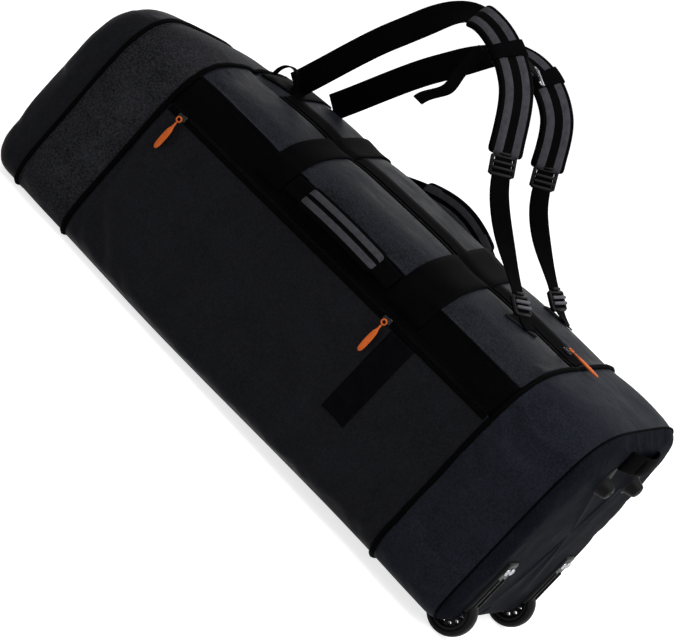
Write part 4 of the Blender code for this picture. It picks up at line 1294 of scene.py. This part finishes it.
def sternum(near, far):
    """Sternum strap between the pads: keepers, steel ring and loose tail."""
    for side, path in (("near", near), ("far", far)):
        half = 0.010 / path.length
        shape = bmesh.new()
        sweep(shape, frames_between(path, KEEPER - half, KEEPER + half, 6), oval(0.0268, 0.0074, 28, 4.0))
        make(f"{side}_keeper_wrap", shape, finish("web20"), "lid", (f"{side}_keeper",))
    start, end = near.at(KEEPER), far.at(KEEPER)
    run = (end - start).normalized()
    along = (near.at(KEEPER + 0.01) - near.at(KEEPER - 0.01)).normalized()
    along = (along - run * along.dot(run)).normalized()
    out = run.cross(along).normalized()
    span = (end - start).length
    shape = bmesh.new()
    frames = []
    for i in range(17):
        reach = lerp(0.006, span - 0.020, i / 16)
        frames.append((start + run * reach - out * 0.004 * math.sin(math.pi * i / 16), along, out))
    sweep(shape, frames, flat(0.020, 0.0018))
    make("sternum_webbing", shape, finish("web20"), "lid", ("sternum_strap",))
    shape = bmesh.new()
    centre = start + run * (span - 0.0165)
    signs = ((-1, -1), (1, -1), (1, 1), (-1, 1))
    corners = [centre + run * a * 0.0055 + along * b * 0.0125 for a, b in signs]
    for first, second in zip(corners, corners[1:] + corners[:1]):
        bar(shape, first, second, 0.0013, out)
    make("sternum_ring_bars", shape, finish("steel"), "lid", ("sternum_ring",))
    edge = start - near.frame(KEEPER)[1] * 0.0285
    top = edge - AHEAD * 0.010
    frames = []
    for i in range(33):
        fall = i / 32
        aside = 0.006 * bell(fall, 0.62, 0.2) - 0.0105 * ramp((fall - 0.62) / 0.38)
        sway = Vector((aside, -0.024 * fall, -0.100 * fall))
        frames.append((top + sway, (AHEAD + LEFT * 0.5 * math.sin(3 * fall)).normalized(), -LEFT))
    shape = bmesh.new()
    sweep(shape, frames, lambda i: flat(0.016, 0.0036 if i > 28 else 0.0018))
    make("sternum_tail_webbing", shape, finish("web20"), "lid", ("sternum_tail",))


def harness():
    near_foot, far_foot = (0.640, -0.055), (0.628, 0.100)
    near = Path(arch((0.172, 0.045), (0.305, 0.552), near_foot))
    far = Path(arch((0.212, 0.100), (0.352, 0.536), far_foot))
    shoulder_strap("near", near, near_foot)
    shoulder_strap("far", far, far_foot)
    sternum(near, far)


# Running gear

def turned(shape, outline, centre, steps):
    """Ring spun about the wheel's axis from a closed outline of (radius, along) points."""
    ray = LEFT.orthogonal().normalized()
    verts = [shape.verts.new(centre + ray * radius + LEFT * along) for radius, along in outline]
    edges = [shape.edges.new(pair) for pair in zip(verts, verts[1:] + verts[:1])]
    bmesh.ops.spin(shape, geom=verts + edges, cent=centre, axis=LEFT, angle=2 * math.pi, steps=steps,
                   use_merge=True)


def hub_sector(shape, centre, turn):
    """One tenth of the hub's web, with its round hole."""
    def spot(radius, angle, across):
        return centre + (AHEAD * math.cos(angle) + UP * math.sin(angle)) * radius + LEFT * across

    hole, edge = [], []
    ray = spot(1.0, turn, 0.0) - centre
    side = LEFT.cross(ray)
    for step in range(24):
        swing = 2 * math.pi * step / 24
        a, b = math.cos(swing), math.sin(swing)
        reach = max(abs(a), abs(b))
        edge.append((0.0146 + 0.0046 * a / reach, turn - math.pi / 10 * b / reach))
        hole.append(ray * (0.0148 + 0.0026 * a) + side * 0.0026 * b)
    front = [spot(radius, angle, 0.0058) for radius, angle in edge]
    back = [spot(radius, angle, -0.0058) for radius, angle in edge]
    rings(shape, [front, [centre + point + LEFT * 0.0058 for point in hole],
                  [centre + point - LEFT * 0.0058 for point in hole], back], caps=False)


def wheel(side):
    body = f"{side}_wheel"
    centre = wheel_centre(side)
    shape = bmesh.new()
    tyre = [(0.0240, 0.0118), (0.0262, 0.0120), (0.0285, 0.0112), (0.0306, 0.0084), (0.0317, 0.0040),
            (0.0320, 0.0), (0.0317, -0.0040), (0.0306, -0.0084), (0.0285, -0.0112), (0.0262, -0.0120),
            (0.0240, -0.0118)]
    turned(shape, tyre, centre, 64)
    make(f"{body}_tyre", shape, finish("rubber"), body, (f"{side}_tyre",))
    shape = bmesh.new()
    rim = [(0.0239, 0.0104), (0.0239, -0.0104), (0.0196, -0.0108), (0.0186, -0.0090), (0.0186, 0.0090),
           (0.0196, 0.0108)]
    turned(shape, rim, centre, 64)
    boss = [(0.0105, 0.0098), (0.0105, -0.0098), (0.0090, -0.0110), (0.0064, -0.0110), (0.0064, 0.0110),
            (0.0090, 0.0110)]
    turned(shape, boss, centre, 40)
    for step in range(10):
        hub_sector(shape, centre, 2 * math.pi * (step + 0.5) / 10)
    bmesh.ops.remove_doubles(shape, verts=shape.verts[:], dist=1e-6)
    obj = make(f"{body}_hub", shape, finish("plastic"), body, (f"{side}_hub",))
    soften(obj, 0.0004)
    shape = bmesh.new()
    turned(shape, [(0.0060, 0.0108), (0.0060, -0.0108), (0.0044, -0.0108), (0.0044, 0.0108)], centre, 32)
    obj = make(f"{body}_bearing", shape, finish("steel"), body, (f"{side}_bearing",))
    soften(obj, 0.0003)
    low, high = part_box(f"{side}_axle")
    shape = bmesh.new()
    reach = (high.y - low.y) / 2
    loops = []
    ends = ((-reach, 0.0030), (-reach + 0.0006, 0.0040), (reach - 0.0006, 0.0040), (reach, 0.0030))
    for place, radius in ends:
        loops.append([centre + LEFT * place + AHEAD * a + UP * b for a, b in oval(radius, radius, 24)])
    rings(shape, loops)
    make(f"{body}_axle", shape, finish("steel"), "shell", (f"{side}_axle",))


def box(shape, low, high, bevel, segments=3):
    made = bmesh.ops.create_cube(shape, size=1.0)["verts"]
    for vert in made:
        vert.co = Vector([lerp(low[k], high[k], vert.co[k] + 0.5) for k in range(3)])
    edges = list({edge for vert in made for edge in vert.link_edges})
    bmesh.ops.bevel(shape, geom=edges, offset=bevel, affect="EDGES", segments=segments, profile=0.5,
                    material=-1, clamp_overlap=True)


def slab(shape, outline, low, high):
    """Plate across the bag from an outline of (x, z) points."""
    face = shape.faces.new([shape.verts.new((x, low, z)) for x, z in outline])
    made = bmesh.ops.extrude_face_region(shape, geom=[face])["geom"]
    verts = [item for item in made if isinstance(item, bmesh.types.BMVert)]
    bmesh.ops.translate(shape, verts=verts, vec=(0, high - low, 0))


def housing(side):
    """Wheel housing: block round the wheel, cheeks cut off at the corner, ribbed flange and two screws."""
    centre = wheel_centre(side)
    back, front = centre.x - 0.056, centre.x + 0.0105
    floor, top = 0.018, 0.086
    shape = bmesh.new()
    arc = [math.radians(lerp(72.5, 203.6, step / 16)) for step in range(17)]
    block = [(back, floor), (back, top), (front, top)]
    block += [(centre.x + 0.035 * math.cos(a), centre.z + 0.035 * math.sin(a)) for a in arc]
    slab(shape, block, centre.y - 0.0152, centre.y + 0.0152)
    cheek = [(back, floor), (back, top), (front, top), (front, centre.z - 0.0015), (centre.x - 0.002, floor)]
    for inner, outer in ((-0.026, -0.015), (0.015, 0.026)):
        slab(shape, cheek, centre.y + inner, centre.y + outer)
    obj = make(f"{side}_housing_shell", shape, finish("plastic"), "shell",
               (f"{side}_wheel_housing",))
    soften(obj, 0.0016)
    face = Kit.skin.length - Kit.skin.middle
    shape = bmesh.new()
    half, reach = 0.017, 0.0045
    box(shape, (face - 0.004, centre.y - half, 0.046), (face + reach, centre.y + half, 0.130), 0.0030, 3)
    for shift in (-0.0095, 0.0095):
        rib = centre.y + shift
        box(shape, (face, rib - 0.0016, 0.052), (face + reach + 0.0022, rib + 0.0016, 0.104), 0.0012, 2)
    make(f"{side}_housing_flange", shape, finish("plastic"), "shell")
    shape = bmesh.new()
    outline = ((0.0, 0.0052), (0.0010, 0.0052), (0.0020, 0.0045), (0.0026, 0.0028), (0.0027, 0.0016),
               (0.0016, 0.0013))
    for shift in (-0.0085, 0.0085):
        spot = Vector((face + reach, centre.y + shift, 0.117))
        loops = []
        for depth, radius in outline:
            loops.append([spot + AHEAD * depth + LEFT * a + UP * b for a, b in oval(radius, radius, 20)])
        rings(shape, loops)
    make(f"{side}_housing_screws", shape, finish("steel"), "shell")


def end_feet():
    """Rubber feet on teardrop bases."""
    profile = ((0.0, 0.0165), (0.0020, 0.0165), (0.0030, 0.0140), (0.0080, 0.0118), (0.0135, 0.0104),
               (0.0165, 0.0090), (0.0178, 0.0060), (0.0180, 0.0028), (0.0150, 0.0024))
    for side in ("near", "far"):
        low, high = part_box(f"{side}_end_foot")
        centre = (low + high) / 2
        shape = bmesh.new()
        loops = []
        for reach, radius in profile:
            points = []
            for a, b in oval(radius, radius, 32):
                drop = 1 + (0.75 * max(b / radius, 0.0) ** 2 if reach < 0.0025 else 0.0)
                points.append(Vector((low.x + reach, centre.y + a, centre.z + b * drop)))
            loops.append(points)
        rings(shape, loops)
        obj = make(f"{side}_rubber_foot", shape, finish("rubber"), "shell",
                   (f"{side}_end_foot",))
        soften(obj, 0.0006)


def boards():
    """Stiffeners inside the base and the wheel end, covered in lining."""
    for node in ("base_board", "wheel_end_board"):
        shape = bmesh.new()
        shape.from_mesh(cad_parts[node].data)
        bmesh.ops.remove_doubles(shape, verts=shape.verts[:], dist=1e-5)
        obj = make(f"{node}_cover", shape, finish("lining"), "shell", (node,))
        soften(obj, 0.0008)


def stitches(name, frames, body):
    """Row of short sewing stitches along frames of (place, along, out)."""
    thread = oval(0.0004, 0.0003, 5)
    shape = bmesh.new()
    for place, along, out in frames:
        across = along.cross(out).normalized()
        loops = []
        for reach, size in ((-0.0013, 0.4), (-0.0007, 1.0), (0.0007, 1.0), (0.0013, 0.4)):
            loops.append([place + along * reach + across * a * size + out * b * size for a, b in thread])
        rings(shape, loops)
    make(name, shape, finish("thread"), body)


def seam_stitches():
    """Top stitching beside the girth seams and along the shoulder bands."""
    skin = Kit.skin
    seams = (("cap_stitches", skin.cap_seam + 0.0060), ("band_stitches", skin.band_seam - 0.0065),
             ("gusset_stitches", skin.gusset_seam + 0.0070))
    for name, station in seams:
        frames = []
        for step in range(230):
            angle = skin.angle_of(lerp(0.55, 3.45, step / 229))
            place, up = on_skin(station, angle, 0.0002)
            ahead, _ = on_skin(station, angle + 0.004, 0.0002)
            frames.append((place, (ahead - place).normalized(), up))
        stitches(name, frames, "shell")
    above = skin.shoulder - 0.005
    for name, side in (("near_band_stitches", NEAR), ("far_band_stitches", FAR)):
        frames = []
        for step in range(140):
            station = lerp(skin.band_seam + 0.004, skin.gusset_seam - 0.004, step / 139)
            place, up = on_skin(station, skin.zip(station, side, above), 0.0002)
            frames.append((place, AHEAD, up))
        stitches(name, frames, "lid")


# Stage

def stage():
    """Camera, lamps, pale surroundings and a floor that keeps the shadow."""
    settings = bpy.context.scene.duffel_stage
    azimuth = math.radians(settings.azimuth)
    elevation = math.radians(settings.elevation)
    roll = math.radians(settings.roll)
    right = Vector((math.cos(azimuth), math.sin(azimuth), 0))
    back = Vector((math.sin(azimuth) * math.cos(elevation), -math.cos(azimuth) * math.cos(elevation),
                   math.sin(elevation)))
    up = back.cross(right)
    across = right * math.cos(roll) + up * math.sin(roll)
    upward = up * math.cos(roll) - right * math.sin(roll)
    target = Vector((0.009, 0, 0.150))
    lens = bpy.data.cameras.new("photo_camera")
    lens.sensor_fit = "HORIZONTAL"
    lens.sensor_width = 36.0
    lens.lens = settings.focal / PICTURE_WIDTH * lens.sensor_width
    lens.shift_x = -settings.shift_x / PICTURE_WIDTH
    lens.shift_y = settings.shift_y / PICTURE_WIDTH
    lens.clip_end = 50
    camera = bpy.data.objects.new("photo_camera", lens)
    turn = Matrix((across, upward, back)).transposed().to_4x4()
    camera.matrix_world = Matrix.Translation(target + back * settings.distance) @ turn
    scene = bpy.context.scene
    scene.collection.objects.link(camera)
    scene.camera = camera
    scene.view_settings.view_transform = "Standard"

    aim = Vector((0.05, 0, 0.2))
    lamps = (("key_light", (0.9, -0.5, 2.4), 2.2, settings.key),
             ("fill_light", (-1.6, -2.2, 1.5), 2.4, settings.fill),
             ("end_light", (2.4, -0.8, 1.3), 1.6, settings.end),
             ("back_light", (-1.4, 2.4, 1.6), 2.4, settings.fill))
    for name, place, size, power in lamps:
        lamp = bpy.data.lights.new(name, "AREA")
        lamp.size = size
        lamp.energy = power
        obj = bpy.data.objects.new(name, lamp)
        obj.location = place
        obj.rotation_euler = (aim - Vector(place)).to_track_quat("-Z", "Y").to_euler()
        scene.collection.objects.link(obj)

    world = bpy.data.worlds.new("studio")
    scene.world = world
    world.use_nodes = True
    tree = world.node_tree
    ground = tree.nodes["Background"]
    ground.inputs["Color"].default_value = (1, 1, 1, 1)
    tree.links.new(seen_share(tree, settings.sky), ground.inputs["Strength"])

    shape = bmesh.new()
    bmesh.ops.create_circle(shape, cap_ends=True, segments=96, radius=12.0)
    mesh = bpy.data.meshes.new("studio_floor")
    shape.to_mesh(mesh)
    shape.free()
    floor = bpy.data.objects.new("studio_floor", mesh)
    scene.collection.objects.link(floor)
    paper = bpy.data.materials.new("studio_paper")
    paper.use_nodes = True
    tree = paper.node_tree
    shader = tree.nodes["Principled BSDF"]
    shader.inputs["Base Color"].default_value = (0.60, 0.60, 0.60, 1)
    shader.inputs["Roughness"].default_value = 0.9
    shader.inputs["Specular IOR Level"].default_value = 0.0
    shader.inputs["Emission Color"].default_value = (1, 1, 1, 1)
    tree.links.new(seen_share(tree, hidden=0.0, seen=0.76), shader.inputs["Emission Strength"])
    mesh.materials.append(paper)


def seen_share(tree, hidden, seen=1.0):
    """One strength for camera, glossy and transmission rays, another for rays that light the object."""
    path = tree.nodes.new("ShaderNodeLightPath")
    total = tree.nodes.new("ShaderNodeMath")
    total.operation = "ADD"
    tree.links.new(path.outputs["Is Camera Ray"], total.inputs[0])
    tree.links.new(path.outputs["Is Glossy Ray"], total.inputs[1])
    both = tree.nodes.new("ShaderNodeMath")
    both.operation = "ADD"
    both.use_clamp = True
    tree.links.new(total.outputs[0], both.inputs[0])
    tree.links.new(path.outputs["Is Transmission Ray"], both.inputs[1])
    span = tree.nodes.new("ShaderNodeMapRange")
    tree.links.new(both.outputs[0], span.inputs["Value"])
    span.inputs["To Min"].default_value = hidden
    span.inputs["To Max"].default_value = seen
    return span.outputs["Result"]


# Operators

class DUFFEL_OT_shell(bpy.types.Operator):
    """Sew the shell from its panels and let the cloth settle"""

    bl_idname = "duffel.shell"
    bl_label = "Shell"

    def execute(self, context):
        Kit.skin = Skin(context.scene.duffel_form)
        make_materials()
        cut_panels(*build_shell())
        boards()
        return {"FINISHED"}


class DUFFEL_OT_seams(bpy.types.Operator):
    """Bind the seams, sew the stitching and add the side webbing"""

    bl_idname = "duffel.seams"
    bl_label = "Seams"

    def execute(self, context):
        skin = Kit.skin
        piping("head_piping", skin.cap_seam, 0.0032)
        piping("band_piping", skin.band_seam - 0.0030, 0.0034)
        piping("gusset_piping", skin.gusset_seam + 0.0030, 0.0034)
        piping("end_piping", skin.end_seam, 0.0013)
        seam_stitches()
        side_leg()
        return {"FINISHED"}


class DUFFEL_OT_lid_trim(bpy.types.Operator):
    """Lay the lid's zip, bands, yoke and hang loop"""

    bl_idname = "duffel.lid_trim"
    bl_label = "Lid trim"

    def execute(self, context):
        lid_trim()
        return {"FINISHED"}


class DUFFEL_OT_zips(bpy.types.Operator):
    """Make the side zip, the sliders and the pulls"""

    bl_idname = "duffel.zips"
    bl_label = "Zips"

    def execute(self, context):
        side_zip()
        zips()
        return {"FINISHED"}


class DUFFEL_OT_handles(bpy.types.Operator):
    """Make the carry handles and the end handles"""

    bl_idname = "duffel.handles"
    bl_label = "Handles"

    def execute(self, context):
        carry_handles()
        end_handles()
        return {"FINISHED"}


class DUFFEL_OT_harness(bpy.types.Operator):
    """Make the two shoulder straps and the sternum strap"""

    bl_idname = "duffel.harness"
    bl_label = "Harness"

    def execute(self, context):
        harness()
        return {"FINISHED"}


class DUFFEL_OT_wheels(bpy.types.Operator):
    """Make the wheels, their housings and the feet"""

    bl_idname = "duffel.wheels"
    bl_label = "Wheels and feet"

    def execute(self, context):
        for side in ("near", "far"):
            wheel(side)
            housing(side)
        end_feet()
        return {"FINISHED"}


class DUFFEL_OT_stage(bpy.types.Operator):
    """Set up the camera, the lights and the floor"""

    bl_idname = "duffel.stage"
    bl_label = "Stage"

    def execute(self, context):
        stage()
        return {"FINISHED"}


STEPS = (DUFFEL_OT_shell, DUFFEL_OT_seams, DUFFEL_OT_lid_trim, DUFFEL_OT_zips, DUFFEL_OT_handles,
         DUFFEL_OT_harness, DUFFEL_OT_wheels, DUFFEL_OT_stage)
GROUPS = {"duffel_form": DuffelForm, "duffel_cloth": DuffelCloth, "duffel_colours": DuffelColours,
          "duffel_stage": DuffelStage}


class DUFFEL_PT_build(bpy.types.Panel):
    """Steps and settings of the bag"""

    bl_label = "Rolling duffel bag"
    bl_space_type = "VIEW_3D"
    bl_region_type = "UI"
    bl_category = "Duffel"

    def draw(self, context):
        for step in STEPS:
            self.layout.operator(step.bl_idname)
        for key, group in GROUPS.items():
            area = self.layout.box()
            for name in group.__annotations__:
                area.prop(getattr(context.scene, key), name)


def register():
    for item in (*GROUPS.values(), *STEPS, DUFFEL_PT_build):
        bpy.utils.register_class(item)
    for key, group in GROUPS.items():
        setattr(bpy.types.Scene, key, PointerProperty(type=group))


def unregister():
    for key in GROUPS:
        delattr(bpy.types.Scene, key)
    for item in reversed((*GROUPS.values(), *STEPS, DUFFEL_PT_build)):
        bpy.utils.unregister_class(item)


def main():
    register()
    bpy.ops.duffel.shell()
    bpy.ops.duffel.seams()
    bpy.ops.duffel.lid_trim()
    bpy.ops.duffel.zips()
    bpy.ops.duffel.handles()
    bpy.ops.duffel.harness()
    bpy.ops.duffel.wheels()
    bpy.ops.duffel.stage()


if __name__ == "__main__":
    main()
